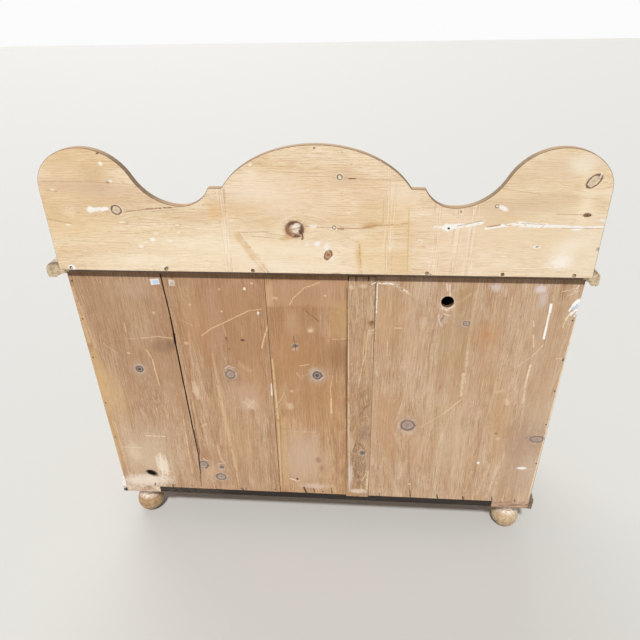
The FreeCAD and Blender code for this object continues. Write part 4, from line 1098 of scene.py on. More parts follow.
middleBoard = {
    "look": {"seed": 37.1, "middle": (22, 226, 534), "heart": (-90, 80), "taper": 0.035,
             "pale": (207, 169, 129), "deep": (184, 141, 99), "upper": (242, 239, 237)},
    "knots": (
        (317.3, 375.3, 5, 1, 0, "eye"),
        (295, 345.6, 2.2, 1.3, 0, "eye"),
    ),
    "arches": (),
    "patches": (
        (268.6, 295, 4.4, 13, (216, 178, 136), 0.55, 0.25, 0.6, -0.03),
        (338.5, 320, 8.5, 20, (200, 160, 110), 0.5, 0.25, 0.6),
        (306, 294, 36, 14, (198, 156, 124), 0.5, 0.2, 0.5),
    ),
    "strokes": (
        (289.2, 305, 292.6, 298, 1.2, scratch, 0.75, 0.4, 0.3),
        (292.4, 298.4, 304, 287.6, 1.3, scratch, 0.8, 0.4, 0.5),
        (303.6, 287.8, 320, 281.8, 1.3, scratch, 0.8, 0.5, 0.6),
        (305.5, 310.4, 312.4, 316.2, 1.4, (140, 96, 64), 0.85, 0.3, 0.3),
        (312, 315.8, 319.4, 321.8, 1.3, (132, 90, 60), 0.85, 0.3),
        (308, 304, 310, 309, 1.1, (146, 104, 74), 0.6, 0.4),
        (293.2, 336, 294.8, 344, 1.1, (108, 78, 62), 0.8, 0.4, 0.3),
        (291, 347, 299.4, 345.4, 1.2, (108, 82, 66), 0.75, 0.5, 0.5),
        (294.8, 343, 295.6, 351, 1.1, (110, 84, 68), 0.7, 0.5),
        (298, 365.8, 309.5, 364.2, 1.4, (224, 192, 154), 0.75, 0.6, 0.4),
        (332.6, 375, 330.2, 389, 1.3, (220, 184, 138), 0.75),
        (330.4, 388, 331.2, 400, 1.3, (220, 184, 138), 0.7),
        (331, 398, 331.6, 414, 2, (230, 198, 152), 0.85, 0.4, 0.3),
        (330, 339.2, 346.5, 338.6, 1.3, (216, 184, 142), 0.7, 0.6, 0.3),
        (329.5, 322, 330.2, 338, 1, (216, 180, 138), 0.5),
        (266, 308.4, 302, 307, 1.6, (168, 122, 84), 0.45, 0.7, 0.3),
        (272, 358, 275.2, 390, 2, (224, 190, 146), 0.7, 0.5),
        (275, 388, 278.2, 421, 2.2, (228, 194, 148), 0.75, 0.4),
        (278, 419, 281.4, 488, 2.2, (222, 188, 142), 0.7, 0.5),
        (283, 415, 286, 487, 6, (212, 176, 128), 0.5, 0.5),
        (274.6, 409, 285, 391.5, 1.3, (218, 186, 146), 0.65, 0.5, 0.3),
        (269, 417.5, 276.5, 413, 1.2, (216, 182, 142), 0.6, 0.5, 0.5),
        (289.6, 478.4, 296.4, 480.6, 1.4, (240, 230, 216), 0.85, 0.9, -0.5),
        (295.6, 481.4, 300, 480.4, 1, (236, 224, 208), 0.7, 0.8),
        (286, 430.5, 318, 432, 1.6, (212, 182, 152), 0.5, 0.9, 0.6),
        (296, 372, 302, 379, 1.6, (212, 184, 156), 0.6, 0.9, 0.3),
        (301, 376, 308, 374, 1.4, (208, 180, 152), 0.5, 0.9, 0.3),
        (274.4, 489, 275.6, 493, 1.8, slit, 0.8, 0.2),
        (303.6, 486.5, 306.4, 493, 2, slit, 0.9, 0.3),
        (313.6, 488, 314.6, 492.5, 1.2, slit, 0.75, 0.2),
        (331, 487.5, 332, 494, 1, slit, 0.7, 0.2),
        # the last two rows are a painted shadow that the strip casts along the board's edge
        (346.4, 282, 347, 492, 1.8, (128, 92, 64), 0.55, 0.2),
        (345.6, 343, 346.4, 420, 2.2, (112, 78, 52), 0.5, 0.3),
    ),
    "spots": (
        (338, 357, 12, 17, (150, 108, 74), 0.62, 0.7, 0.6),
        (290, 362, 14, 28, (184, 136, 88), 0.45, 0.9, 0.7),
        (330, 405, 14, 30, (180, 136, 92), 0.4, 0.9, 0.7),
        (298, 342, 28, 34, (178, 132, 92), 0.5, 0.9, 0.5),
        (310, 400, 26, 22, (176, 132, 90), 0.5, 0.9, 0.7),
        (292, 322, 7, 16, (202, 168, 140), 0.4, 0.9, 1),
        (303, 460, 19, 32, (206, 176, 152), 0.7, 0.7, 0.7),
        (317, 376, 9.5, 9.5, (190, 164, 142), 0.5, 0.6, 0.6),
        (313.5, 371.5, 5, 4.5, (204, 184, 164), 0.5, 0.6),
        (310.6, 330.4, 2.3, 1.8, (236, 208, 176), 0.9, 0.5, 1.4, 0.3),
        (310.6, 330, 4, 3.4, (206, 170, 136), 0.6, 0.6, 1.2, 0.3),
        (324.8, 295.6, 0.9, 0.9, (236, 212, 184), 0.8, 0.4, 0.5),
        (295, 349.4, 3, 1.3, (214, 190, 168), 0.6, 0.5, 1.2),
        (290, 406, 3.4, 4.4, (220, 190, 158), 0.6, 0.6, 1.8, 0.4),
        (291.6, 391, 1.6, 1.5, (224, 196, 162), 0.6, 0.5, 1.2),
        (275, 298, 3.4, 1.6, (222, 192, 160), 0.55, 0.6, 1.8),
        (318, 460, 2.6, 3.4, (146, 108, 88), 0.65, 0.7, 1.4),
        (321.4, 468, 2, 3, (152, 114, 92), 0.55, 0.7, 1.4),
        (297.3, 478.8, 1.2, 1.2, (46, 36, 30), 0.95, 0.3, 0.4),
        (315, 486, 12, 3.4, (222, 198, 184), 0.6, 0.7, 2),
        (284, 400, 3, 10, (206, 170, 130), 0.4, 0.8, 1),
        (306, 284, 30, 5, (188, 150, 122), 0.4, 0.9, 1.2),
    ),
}
leftBoard = {
    "look": {"seed": 53.3, "middle": (-408, 226, 534), "heart": (150, 110), "taper": 0.02,
             "pale": (214, 186, 155), "deep": (194, 158, 123), "late": (164, 125, 91),
             "bloom": (224, 201, 178), "upper": (250, 249, 249)},
    "knots": (
        (407.5, 425.2, 7.2, 1.08, 0, "grey"),
        (536.6, 439.2, 4.6, 1.6, 0, "grey"),
        (466.5, 323.4, 3.2, 1.25, 0, "grey"),
    ),
    "arches": (
        (407.5, 425, 17, 34, 0, 2, (166, 124, 88), 0.22),
        (536, 439, 14, 20, 0, 2, (150, 116, 90), 0.3),
    ),
    "patches": (),
    "strokes": (
        (377.2, 281, 376.2, 314, 1.7, (244, 234, 220), 0.85, 0.4),
        (376, 312, 374.4, 350, 1.2, (226, 202, 174), 0.6, 0.8),
        (376.6, 370, 377.2, 377, 1.5, (232, 210, 184), 0.7),
        (374, 345, 370.4, 492, 1.1, (206, 176, 142), 0.5),
        (377.6, 283, 393, 283.4, 1.8, (246, 240, 232), 0.85, 1.8, 0.5),
        (391, 283.6, 404, 288.6, 2.2, (242, 232, 220), 0.8, 2.2, 0.3),
        (402, 288, 413, 295.4, 3, (240, 230, 216), 0.8, 2.4, 0.2),
        (384, 281.6, 400, 284.6, 1.1, (238, 226, 210), 0.6, 1.6, 0.5),
        (396, 288, 404, 292, 1.2, (226, 206, 182), 0.6, 1),
        (446.6, 283, 447.6, 291, 1.8, (234, 216, 202), 0.7, 0.7),
        (449.6, 284, 450.2, 297, 1.6, (234, 216, 202), 0.7, 0.8),
        (441, 308, 447, 311, 2.2, (232, 212, 192), 0.75, 1, -0.6),
        (447, 310.8, 455, 305.6, 2, (226, 204, 180), 0.75, 0.8, -0.6),
        (453.6, 299, 454.8, 306, 1.2, (222, 200, 176), 0.7, 0.6, 0.3),
        (439.6, 320.5, 444, 315.5, 1.6, (104, 80, 64), 0.8, 0.8, 0.8),
        (441, 320, 440, 325.5, 1.2, (110, 86, 70), 0.7, 0.8, 0.4),
        (438.4, 314, 441, 326, 2, (226, 206, 184), 0.65, 1.1, 0.4),
        (443, 313.4, 451, 316, 1.8, (226, 206, 184), 0.6, 1.1, 0.4),
        (457, 303, 472, 293, 3.4, (206, 176, 140), 0.4, 0.6, 0.4),
        (551.2, 303.2, 549.6, 313, 2.8, (250, 248, 244), 0.98, 0),
        (549.8, 311.5, 546.2, 327.5, 2.2, (248, 240, 230), 0.95, 0, 0.2),
        (546.4, 326, 543.4, 339.6, 2.5, (250, 246, 240), 0.97, 0),
        (544.2, 343.6, 531, 357, 1.2, (226, 200, 170), 0.75, 0.5, -0.4),
        (531, 357, 516, 367.5, 1.1, (220, 192, 160), 0.65, 0.6, 0.4),
        (530.6, 364, 526.6, 379, 2.1, (238, 214, 184), 0.85, 0.4),
        (526.8, 378, 522.6, 404, 2.1, (230, 204, 174), 0.7, 0.6, 0.2),
        (533.2, 320.5, 533.8, 327, 1.5, (230, 204, 176), 0.8, 0.4),
        (533.4, 334, 533.6, 347.5, 1.6, (232, 206, 178), 0.8, 0.5),
        (519, 318, 517, 348, 1, (218, 188, 156), 0.5, 0.8),
        (512, 296, 509, 318, 2, (218, 190, 158), 0.5, 0.8),
        (505, 285, 500, 330, 1.2, (170, 134, 104), 0.35, 0.8),
        (463.5, 397.5, 441, 415, 1.2, (228, 198, 162), 0.8, 0.4, -0.4),
        (441, 415, 420.5, 427.5, 1.1, (222, 192, 156), 0.65, 0.6, 0.3),
        (477, 287, 464, 372, 3.4, (218, 190, 156), 0.4),
        (463.4, 372, 461, 397, 3.2, (232, 208, 180), 0.65, 0.9),
        (468, 350, 464.5, 384, 2, (226, 200, 170), 0.5, 0.9),
        (456, 400, 440, 440, 1, (226, 200, 170), 0.4, 0.8, 0.3),
        (460, 402, 452, 480, 5, (214, 186, 154), 0.4, 0.8),
        (564.8, 280, 561.6, 302, 0.9, (120, 90, 68), 0.6, 0.3),
        (387.4, 340, 386.6, 356, 1.1, (232, 208, 178), 0.7),
        (408.6, 437, 409.4, 492, 1, (150, 110, 80), 0.55, 0.4, 0.2),
        (498, 465, 486, 498, 3.4, (220, 194, 168), 0.55, 0.8),
        (490, 462, 476, 496, 3, (218, 190, 160), 0.4, 0.8),
        (556, 358.4, 562.6, 359.2, 1.5, (226, 200, 170), 0.75, 0.5),
        (524, 469.8, 537, 468.2, 1.1, (226, 204, 178), 0.6, 0.8),
        (580.4, 299.4, 572.6, 306.6, 4.2, (250, 248, 244), 0.97, 0, 0.4),
        (573.4, 305, 568.8, 311.6, 2.4, (246, 240, 232), 0.92, 0.2, 0.3),
        (578.6, 305.2, 572.4, 310.4, 4.4, (190, 210, 230), 0.85, 0.3, 0.3),
        (577.4, 309, 569.6, 315.4, 3.2, (250, 248, 244), 0.95, 0.2, 0.4),
        (570.6, 313, 565.4, 320.4, 1.9, (236, 218, 190), 0.88, 0.2, 0.3),
        (565.8, 319.6, 562.8, 328, 1.4, (228, 200, 160), 0.8, 0.2, 0.3),
        (577.6, 311.4, 573.6, 316.8, 2.6, (238, 238, 236), 0.9, 0.8),
        (567, 296, 580, 290, 1.2, (232, 214, 194), 0.65, 0.9, 0.6),
        (562, 291.6, 578, 287.4, 1.2, (230, 212, 192), 0.6, 1, 0.6),
        (574, 292, 579, 285, 1.4, (240, 230, 216), 0.7, 0.9, 0.3),
        (586, 282, 579.4, 306, 1.8, (240, 226, 206), 0.8, 0.5),
        (579, 306, 527.6, 501, 1.5, (240, 222, 194), 0.75, 0.4),
        (409.6, 490, 410.3, 498, 1.1, slit, 0.8, 0.2),
        (436.7, 494, 437.6, 500, 1.5, slit, 0.88, 0.2),
        (462.6, 496, 463.4, 502, 1.6, slit, 0.9, 0.2),
        (491.5, 496, 492, 504, 1.1, slit, 0.75, 0.2),
        (379, 493, 379.4, 497, 1.2, slit, 0.7, 0.2),
        (514, 499, 515, 503, 1.6, slit, 0.7, 0.2),
    ),
    "spots": (
        (447.4, 303.4, 8.6, 8, (216, 192, 168), 0.7, 0.22, 1),
        (463, 300, 10, 13, (176, 142, 102), 0.5, 0.6, 0.7),
        (382, 320, 9, 40, (194, 148, 106), 0.4, 0.9, 0.6),
        (384, 415, 10, 40, (194, 148, 104), 0.4, 0.9, 0.6),
        (413, 345, 9, 30, (194, 150, 110), 0.35, 0.9, 0.6),
        (450, 440, 12, 44, (216, 190, 160), 0.4, 0.9, 0.6),
        (530, 470, 16, 34, (208, 184, 162), 0.45, 0.9, 0.7, 0.15),
        (538, 420, 14, 26, (196, 174, 152), 0.4, 0.9, 0.7, 0.15),
        (455, 345, 15, 26, (182, 148, 106), 0.5, 0.8, 0.8),
        (455, 388, 16, 26, (190, 152, 112), 0.35, 0.9, 0.8, 0.1),
        (463, 325, 7, 6, (176, 146, 124), 0.6, 0.6),
        (441.5, 319.5, 5, 6.5, (196, 168, 146), 0.6, 0.5, 1.6),
        (408, 425.8, 10.5, 11.5, (196, 170, 146), 0.55, 0.5, 0.7),
        (409.5, 432, 4, 3, (214, 194, 174), 0.6, 0.5, 1),
        (430, 420, 20, 14, (190, 156, 118), 0.35),
        (415, 452, 16, 22, (190, 146, 106), 0.4),
        (391, 445, 5, 30, (190, 142, 102), 0.4, 0.8, 0.8),
        (522, 445, 16, 24, (174, 144, 122), 0.6, 0.8, 0.8, 0.2),
        (516, 480, 14, 16, (186, 156, 132), 0.5, 0.8, 0.8, 0.2),
        (529.6, 438.4, 4, 3, (132, 102, 88), 0.7, 0.6, 1.2),
        (496, 287.4, 5, 4.4, (218, 200, 198), 0.65, 0.7, 1.2),
        (541, 289, 5, 4.4, (222, 208, 210), 0.82, 0.5, 1.2),
        (543, 300, 3.4, 9, (214, 198, 196), 0.62, 0.6, 1.4),
        (505.5, 292, 2, 5, (216, 194, 176), 0.45, 0.7, 1.2),
        (579, 306, 2, 8, (240, 240, 240), 0.85, 0.4, 0.9, 0.15),
        (521.4, 468.2, 4.2, 1.9, white, 0.9, 0.3, 1.8, 0.1),
        (478, 462.7, 1.4, 1.5, (252, 248, 240), 0.95, 0.3, 0.8),
        (409.2, 484, 1.1, 1.1, (240, 226, 206), 0.8, 0.4, 0.8),
        (496, 433.4, 1.3, 1.3, (84, 62, 48), 0.9, 0.4, 0.8),
        (497.6, 438.6, 1.7, 2.4, (234, 212, 188), 0.75, 0.5, 1.2),
        (507, 402, 2.4, 4.4, (232, 208, 180), 0.75, 0.5, 1.6, 0.3),
        (499.6, 391.4, 5, 1.4, (224, 200, 172), 0.6, 0.6, 1.8, 0.3),
        (486.5, 334.6, 3.2, 2.8, (178, 120, 80), 0.75, 0.7, 0.8),
        (486.5, 334, 12, 10, (198, 144, 102), 0.4, 0.9, 0.8),
        (499, 420, 9, 44, (190, 146, 100), 0.5, 0.8, 0.6, 0.1),
        (488, 352, 9, 40, (196, 150, 108), 0.35, 0.9, 0.6, 0.05),
        (543, 350, 20, 46, (192, 160, 128), 0.45, 0.9, 0.6, 0.2),
        (394, 320, 14, 26, (204, 162, 120), 0.35, 0.9, 0.6),
        (540, 400, 10, 30, (196, 166, 134), 0.4, 0.9, 0.8, 0.2),
        (423, 322, 5, 5, (214, 190, 164), 0.4, 0.7, 1.4),
        (398.4, 328, 4, 1, (226, 202, 176), 0.6, 0.5, 1.6),
        (563.4, 359.4, 1.2, 2.2, (120, 88, 62), 0.7, 0.4, 0.8),
    ),
}
backBoards = {
    "back_board_right_end": rightEnd,
    "back_board_right_middle": rightMiddle,
    "back_board_middle": middleBoard,
    "back_board_left": leftBoard,
}
coverStrip = {
    "look": {"seed": 71.9, "middle": (-122, 227, 534), "heart": (20, 34), "taper": 0.05,
             "pale": (210, 178, 142), "deep": (190, 152, 114), "late": (138, 100, 72), "ringWidth": 3.2,
             "ringShare": 0.46, "threadShare": 0.6, "fibreShare": 0.55, "wander": 10},
    "patches": (),
    "knots": ((362.2, 452.8, 2.7, 1.1, 0.2, "eye"),),
    "arches": (
        (358.5, 464, 9.5, 27, 0.05, 3, (112, 84, 66), 0.5),
        (366, 400, 5, 18, 0.1, 2, (122, 92, 70), 0.4),
        (362.5, 420, 6.5, 15, 0.1, 2, (126, 96, 74), 0.3),
        (360, 494, 7, 30, 0, 2, (122, 92, 72), 0.4),
    ),
    "spots": (
        (371.4, 323.4, 3.2, 3.2, (150, 104, 60), 0.8, 0.5, 1.2, 0.5),
        (372, 322, 2, 1.6, (106, 72, 42), 0.6, 0.5, 1.2),
        (358, 345, 9, 20, (190, 148, 120), 0.4, 0.9, 0.8),
        (363.6, 434, 4, 8, (140, 110, 94), 0.5, 0.8, 1.6, 0.1),
        (367, 428, 3, 3, (146, 116, 98), 0.5, 0.8, 1.6, 0.1),
        (350.6, 474, 2.2, 14, (214, 198, 192), 0.7, 0.6, 2),
        (362, 452.8, 5, 5, (188, 156, 134), 0.5, 0.6, 1),
        (361, 466, 5, 4, (150, 118, 96), 0.45, 0.7, 1.4),
        (358, 491, 8, 2.8, (232, 214, 190), 0.7, 0.6, 3),
        (352, 445, 2, 8, (214, 190, 166), 0.5, 0.7, 1.2),
        (351, 287, 2, 2.4, (226, 204, 176), 0.6, 0.6, 1.4),
        (363, 286, 4, 2.4, (228, 206, 178), 0.5, 0.6, 1.8),
    ),
    "strokes": (
        # the first two rows are a painted highlight along the strip's left edge
        (347.9, 282, 348.6, 400, 1.1, (228, 204, 172), 0.75),
        (348.6, 400, 349.2, 492, 1.3, (232, 212, 184), 0.75),
        (375.4, 272, 374.2, 330, 1.1, (84, 62, 46), 0.75, 0.3),
        (374.2, 330, 371.8, 380, 1, (100, 74, 54), 0.7, 0.3),
        (373, 330, 370.6, 492, 1.2, (222, 196, 162), 0.6, 0.7),
        (365, 330, 362.4, 365, 1, (224, 188, 144), 0.6, 0.6, 0.3),
        (368.4, 330, 365.4, 356, 1.4, (226, 192, 150), 0.65, 0.5, 0.2),
        (365, 355, 360, 376, 1.4, (228, 194, 150), 0.65, 0.6, 0.2),
        (360, 376, 358.5, 388, 1.2, (230, 198, 158), 0.6, 0.8),
        (367.5, 404, 358.5, 418, 1.3, (132, 96, 72), 0.55, 0.5, 0.6),
        (362.6, 283, 361.8, 330, 0.9, (226, 196, 158), 0.45, 0.9),
        (368, 330.5, 375, 330, 1.1, (232, 212, 186), 0.7, 1),
        (368, 333.2, 375, 333, 1.1, (228, 206, 178), 0.65, 1),
        (369, 328, 374, 327.6, 0.9, (120, 84, 52), 0.6),
        (352, 452, 356, 443, 1.1, (106, 76, 58), 0.7, 0.4, 0.6),
        (356, 443, 361, 444.5, 1.1, (106, 76, 58), 0.65, 0.4, 0.6),
        (360.4, 444.5, 366, 452, 1.1, (106, 76, 58), 0.65, 0.4, 0.4),
        (354, 468, 359.4, 478, 1, (116, 84, 66), 0.6, 0.5, 0.4),
        (368.6, 470, 366.6, 490, 2.4, (232, 206, 168), 0.75, 0.6, 0.3),
        (366, 474, 361, 482, 1.4, (226, 200, 164), 0.6, 0.6, 0.4),
        (371, 284.4, 376, 282, 1.3, (240, 230, 216), 0.8, 0.8, 0.3),
        (348.4, 273, 348.4, 281.4, 1.4, (44, 32, 26), 0.9, 0.2),
        (355.8, 273, 355.8, 281.4, 1.6, (44, 32, 26), 0.9, 0.2),
        (368.6, 273, 368.6, 281.4, 1.5, (44, 32, 26), 0.9, 0.2),
    ),
}


def paintGalleryShadow(board):
    # painted shadow: a dark band on the boards just below the gallery, where its shadow falls
    f = board.f
    low = board.ragged * 1.5 + board.z
    share = f.fade(low, galleryShadowPaint["low"], galleryShadowPaint["high"], galleryShadowPaint["share"])
    board.colour = f.blend(share, board.colour, tone(*galleryShadowPaint["tone"]), "MULTIPLY")


def darkenJoints(board):
    # painted shade: inside the joints and holes the walls are painted nearly black, and only the outermost
    # edges are pale
    f = board.f
    across, outward, upright = board.normal
    facing = f.fade(abs(outward), 0.6, 0.3)
    inner = f.fade(abs(board.x - caseX), *jointSidesAndShade["inX"]) * f.fade(abs(board.z - caseZ), *jointSidesAndShade["inZ"])
    board.lay(facing * jointSidesAndShade["sideShare"], jointSidesAndShade["side"])
    board.lay(facing * inner, jointSidesAndShade["dark"])
    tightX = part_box("back_board_middle")[1].x * perMetre
    near = f.fade(abs(board.x - tightX), *jointSidesAndShade["tightX"])
    board.lay(facing * inner * (near * f.fade(abs(across), 0.6, 0.9)), jointSidesAndShade["tight"])
    crack = f.fade(board.z, *jointSidesAndShade["crackZ"]) * f.fade(abs(upright), 0.3, 0.1)
    board.lay(facing * inner * crack * jointSidesAndShade["crackShare"], jointSidesAndShade["crack"])
    hole = f.fade(upright, 0.3, 0.7) * f.fade(board.z, *jointSidesAndShade["holeZ"])
    board.lay(facing * inner * hole, jointSidesAndShade["hole"])


def backFinish(name, parts, faceY, jointed):
    look = backPine | parts["look"]
    look["knots"] = [knotPlace(look, faceY, knot) for knot in parts["knots"]]
    board = Board(name, look)
    f = board.f
    if jointed:
        dark = f.fade(board.z, *darkerUp)
        board.colour = f.blend(dark, board.colour, tone(*look["upper"]), "MULTIPLY")
    bare = board.colour
    drawArches(board, faceY, parts["arches"])
    drawMarks(board, faceY, (), parts["patches"], True)
    drawMarks(board, faceY, (), parts["spots"])
    drawKnots(board, faceY, parts["knots"])
    drawMarks(board, faceY, parts["strokes"], ())
    paintGalleryShadow(board)
    board.keepTo(faceY, bare)
    if jointed:
        darkenJoints(board)
    return board.finished()


def stripFinish():
    return backFinish("coverStripPine", coverStrip, stripFace, False)


# Case, doors, drawers and the rest

waxed = {
    "pale": (218, 178, 126),
    "deep": (198, 150, 96),
    "late": (160, 108, 62),
    "stain": (184, 134, 82),
    "bloom": (226, 192, 144),
    "speck": (236, 208, 166),
    "fleck": (116, 76, 46),
    "ringShare": 0.55,
    "cloudShare": 0.35,
    "streakShare": 0.4,
    "gloss": 1,
}
rawInside = {
    "pale": (212, 178, 136),
    "deep": (190, 150, 108),
    "late": (160, 118, 78),
    "stain": (164, 128, 92),
    "bloom": (206, 180, 148),
    "stainShare": 0.45,
}
turnedWood = {
    "pale": (212, 164, 110),
    "deep": (182, 128, 78),
    "late": (132, 84, 46),
    "stain": (150, 100, 60),
    "bloom": (226, 196, 160),
    "ringWidth": 3.4,
    "ringShare": 0.6,
    "heart": (9, 14),
    "wander": 4,
    "taper": 0.02,
    "gloss": 0.6,
}
boards = {
    # look, grain, seed, the board's middle, and what is its own
    "top_board": (waxed, "xyz", 5.1, (0, 0, 938), {"heart": (-60, -70), "ringWidth": 5.5}),
    "top_moulding": (waxed, "xzy", 6.2, (caseX, -208, 915), {"mitred": returnX}),
    "side_panel_left": (waxed, "zyx", 7.3, (-650, caseY, caseZ), {"heart": (30, 75)}),
    "side_panel_right": (waxed, "zyx", 8.4, (630, caseY, caseZ), {"heart": (-40, 75)}),
    "bottom_board": (rawInside, "xyz", 9.5, (caseX, caseY, 153), {}),
    "partitions": (rawInside, "zyx", 10.6, (caseX, caseY, caseZ), {"paired": 137}),
    "back_rail_top": (rawInside, "xzy", 12.7, (caseX, 210, topRailZ), {}),
    "front_stiles": (waxed, "zxy", 13.8, (caseX, frontY, caseZ), {"paired": 211}),
    "front_muntins": (waxed, "zxy", 14.9, (caseX, frontY, caseZ), {"paired": 173}),
    "front_rail_top": (waxed, "xzy", 15.1, (caseX, frontY, topRailZ), {}),
    "front_rail_bottom": (waxed, "xzy", 16.2, (caseX, frontY, 163), {}),
    "drawer_rails": (waxed, "xzy", 17.3, (caseX, frontY, caseZ), {}),
    "drawer_runners": (rawInside, "yxz", 18.4, (caseX, caseY, caseZ), {"paired": 61}),
    "shelves": (rawInside, "xyz", 19.5, (caseX, caseY, 544), {"paired": 97}),
    "shelf_bearers": (rawInside, "yzx", 20.6, (caseX, caseY, 522), {"paired": 53}),
}
doors = {"left": (31, -436), "right": (44, 415)}                # seed and middle of each, from side to side
drawers = {1: 304, 2: 552, 3: 785}                              # middle of each, from the floor
drawerSeeds = (60, 4.7)
for side, (seed, doorX) in doors.items():
    place = (doorX, frontY, caseZ)
    name = "door_" + side
    boards[name + "_stiles"] = (waxed, "zxy", seed, place, {"heart": (20, 55)})
    boards[name + "_rails"] = (waxed, "xzy", seed + 1.3, place, {"heart": (40, 60)})
    boards[name + "_panel"] = (waxed, "zxy", seed + 2.6, place, {
        "heart": (15, 48), "taper": 0.05, "pale": (226, 184, 128),
        "knots": [{"along": 120, "across": -60, "radius": 11}]})
    boards[name + "_latch"] = (rawInside, "zxy", seed + 3.9, (doorX, -180, 600), {"heart": (12, 20)})
for number, drawerZ in drawers.items():
    name = "drawer_" + str(number)
    seed = drawerSeeds[0] + number * drawerSeeds[1]
    boards[name + "_front"] = (waxed, "xzy", seed, (caseX, -198, drawerZ), {
        "heart": (number * 14 - 20, 58),
        "knots": [{"along": number * 70 - 120, "across": 30 - number * 20, "radius": 9}]})
    boards[name + "_sides"] = (rawInside, "yzx", seed + 1.1, (caseX, 0, drawerZ), {"paired": 71})
    boards[name + "_back"] = (rawInside, "xzy", seed + 2.2, (caseX, 170, drawerZ), {})
    boards[name + "_bottom"] = (rawInside, "xyz", seed + 3.3, (caseX, 0, drawerZ), {})


def boardLook(kind, grain, seed, middle, own):
    return kind | {"grain": grain, "seed": seed, "middle": middle} | own


# knots on boards that the picture doesn't show
plainKnot = {
    "ahead": 0.8,
    "torn": 0.6,
    "rings": 15,
    "rimPlace": 0.95,
    "rimEdge": (0.2, 0.03),
    "rimBroken": (0.34, 0.5),
    "rimShare": 0.8,
    "rim": (104, 64, 38),
    # tints, as shares of the radius: start, whole, share and colour
    "heart": ((2.4, 1, 0.6, (184, 130, 76)), (1.15, 0.8, 0.75, (166, 114, 68))),
    "ringed": ((1, 0.8, 0.45, (124, 80, 48)),),
    "core": ((0.4, 0.2, 0.6, (112, 70, 42)),),
}


def plainKnots(board):
    f, look = board.f, plainKnot
    for knot in board.look["knots"]:
        ahead = (board.along - knot["along"]) / knot["radius"] * look["ahead"]
        away = f.vector(ahead, (board.across - knot["across"]) / knot["radius"], 0)
        reach = f.length(away) + (board.ragged - 0.5) * look["torn"]
        rings = f.fade((reach * look["rings"]).does("SINE"), 0, 0.9)
        rim = f.fade(abs(reach - look["rimPlace"]), *look["rimEdge"])
        rim = rim * f.fade(board.ragged, *look["rimBroken"])
        board.tint(reach, look["heart"])
        board.tint(reach, look["ringed"], rings)
        board.tint(reach, look["core"])
        board.lay(rim * look["rimShare"], look["rim"], -1)


# behind the moulding the wood was never waxed: it is grey and cream, with dark end grain
dryEnd = {
    "back": (195, 222),          # where it starts and where it is whole
    "side": (610, 645),
    "dash": (7.5, 1.6),
    "share": 0.85,
    "wood": (214, 196, 166),
    # tints: where in the pattern each starts and where it is whole, its share and its colour
    "ragged": ((0.42, 0.6, 0.7, (164, 138, 108)),),
    "dashes": ((0.55, 0.66, 0.8, (92, 76, 62)), (0.42, 0.32, 0.5, (236, 222, 196))),
    # painted shade: the ends get darker towards the top
    "upper": ((938, 947, 0.75, (112, 92, 72)),),
}
topEdgeShade = {
    # painted shade: the top board's back edge is painted dark below the gallery, where the gallery shades it
    "back": (228, 231),
    "side": (645, 641),
    "tone": (116, 90, 70),
    "ragged": ((0.45, 0.6, 0.6, (84, 64, 50)),),
}
handled = ((0.6, 0.75, 0.18, (150, 98, 54)),)      # hands and dusters darken it a little in places


def dryBackEnds(board):
    f = board.f
    back = f.fade(board.y, *dryEnd["back"]) * f.fade(abs(board.x - caseX), *dryEnd["side"])
    wide, high = dryEnd["dash"]
    dashes = f.noise(f.vector(board.x / wide, board.y / wide, board.z / high), 2, 0.6)
    board.lay(back * dryEnd["share"], dryEnd["wood"])
    board.tint(board.ragged, dryEnd["ragged"], back)
    board.tint(dashes, dryEnd["dashes"], back)
    # painted shade towards the top of the ends
    board.tint(board.z, dryEnd["upper"], back)


def caseFinish(name):
    board = Board(name + "Pine", boardLook(*boards[name]))
    f = board.f
    plainKnots(board)
    if board.look["gloss"]:
        board.tint(board.ragged, handled)
    if name in ("top_board", "top_moulding"):
        dryBackEnds(board)
    if name == "top_board":
        # painted shade on the back edge under the gallery
        shadedBackEdge = f.fade(board.y, *topEdgeShade["back"]) * f.fade(abs(board.x - caseX), *topEdgeShade["side"])
        board.lay(shadedBackEdge, topEdgeShade["tone"])
        board.tint(board.ragged, topEdgeShade["ragged"], shadedBackEdge)
    return board.finished(strength=0.4)


plinth = {
    # the ends at the back are bare on the picture's left, with old paint, and painted dark on its right as
    # shade
    "back": (175, 231),
    "painted": (137, 142),
    "soled": (134, 130),
    "ends": (150, 128, 108),
    "endsShare": 0.8,
    "left": (216, 190, 172),
    "leftShare": 0.9,
    "paint": (246, 243, 238),
    "paintShare": 0.95,
    "chips": ((0.6, 0.66, 0.9, (78, 62, 54)),),
    "sole": (44, 34, 30),
    "right": ((0.3, 0.6, 0.9, (78, 68, 60)),),
}


def plinthFinish():
    board = Board("plinthPine", boardLook(waxed, "xzy", 21.7, (caseX, -208, 146), {"mitred": returnX}))
    f = board.f
    back = f.fade(board.y, *plinth["back"])
    left, right = back * (board.x > 0), back * (board.x < 0)
    painted = f.fade(board.z, *plinth["painted"])
    board.lay(back * plinth["endsShare"], plinth["ends"])
    board.lay(left * plinth["leftShare"], plinth["left"])
    board.lay(left * f.fade(board.ragged, 0.34, 0.5) * painted * plinth["paintShare"], plinth["paint"])
    board.tint(board.ragged, plinth["chips"], left)
    sole = f.fade(board.z, *plinth["soled"]) * f.fade(board.ragged, 0.4, 0.5)
    board.lay(left * sole, plinth["sole"])
    # painted shade on the right end
    board.tint(board.ragged, plinth["right"], right)
    return board.finished()


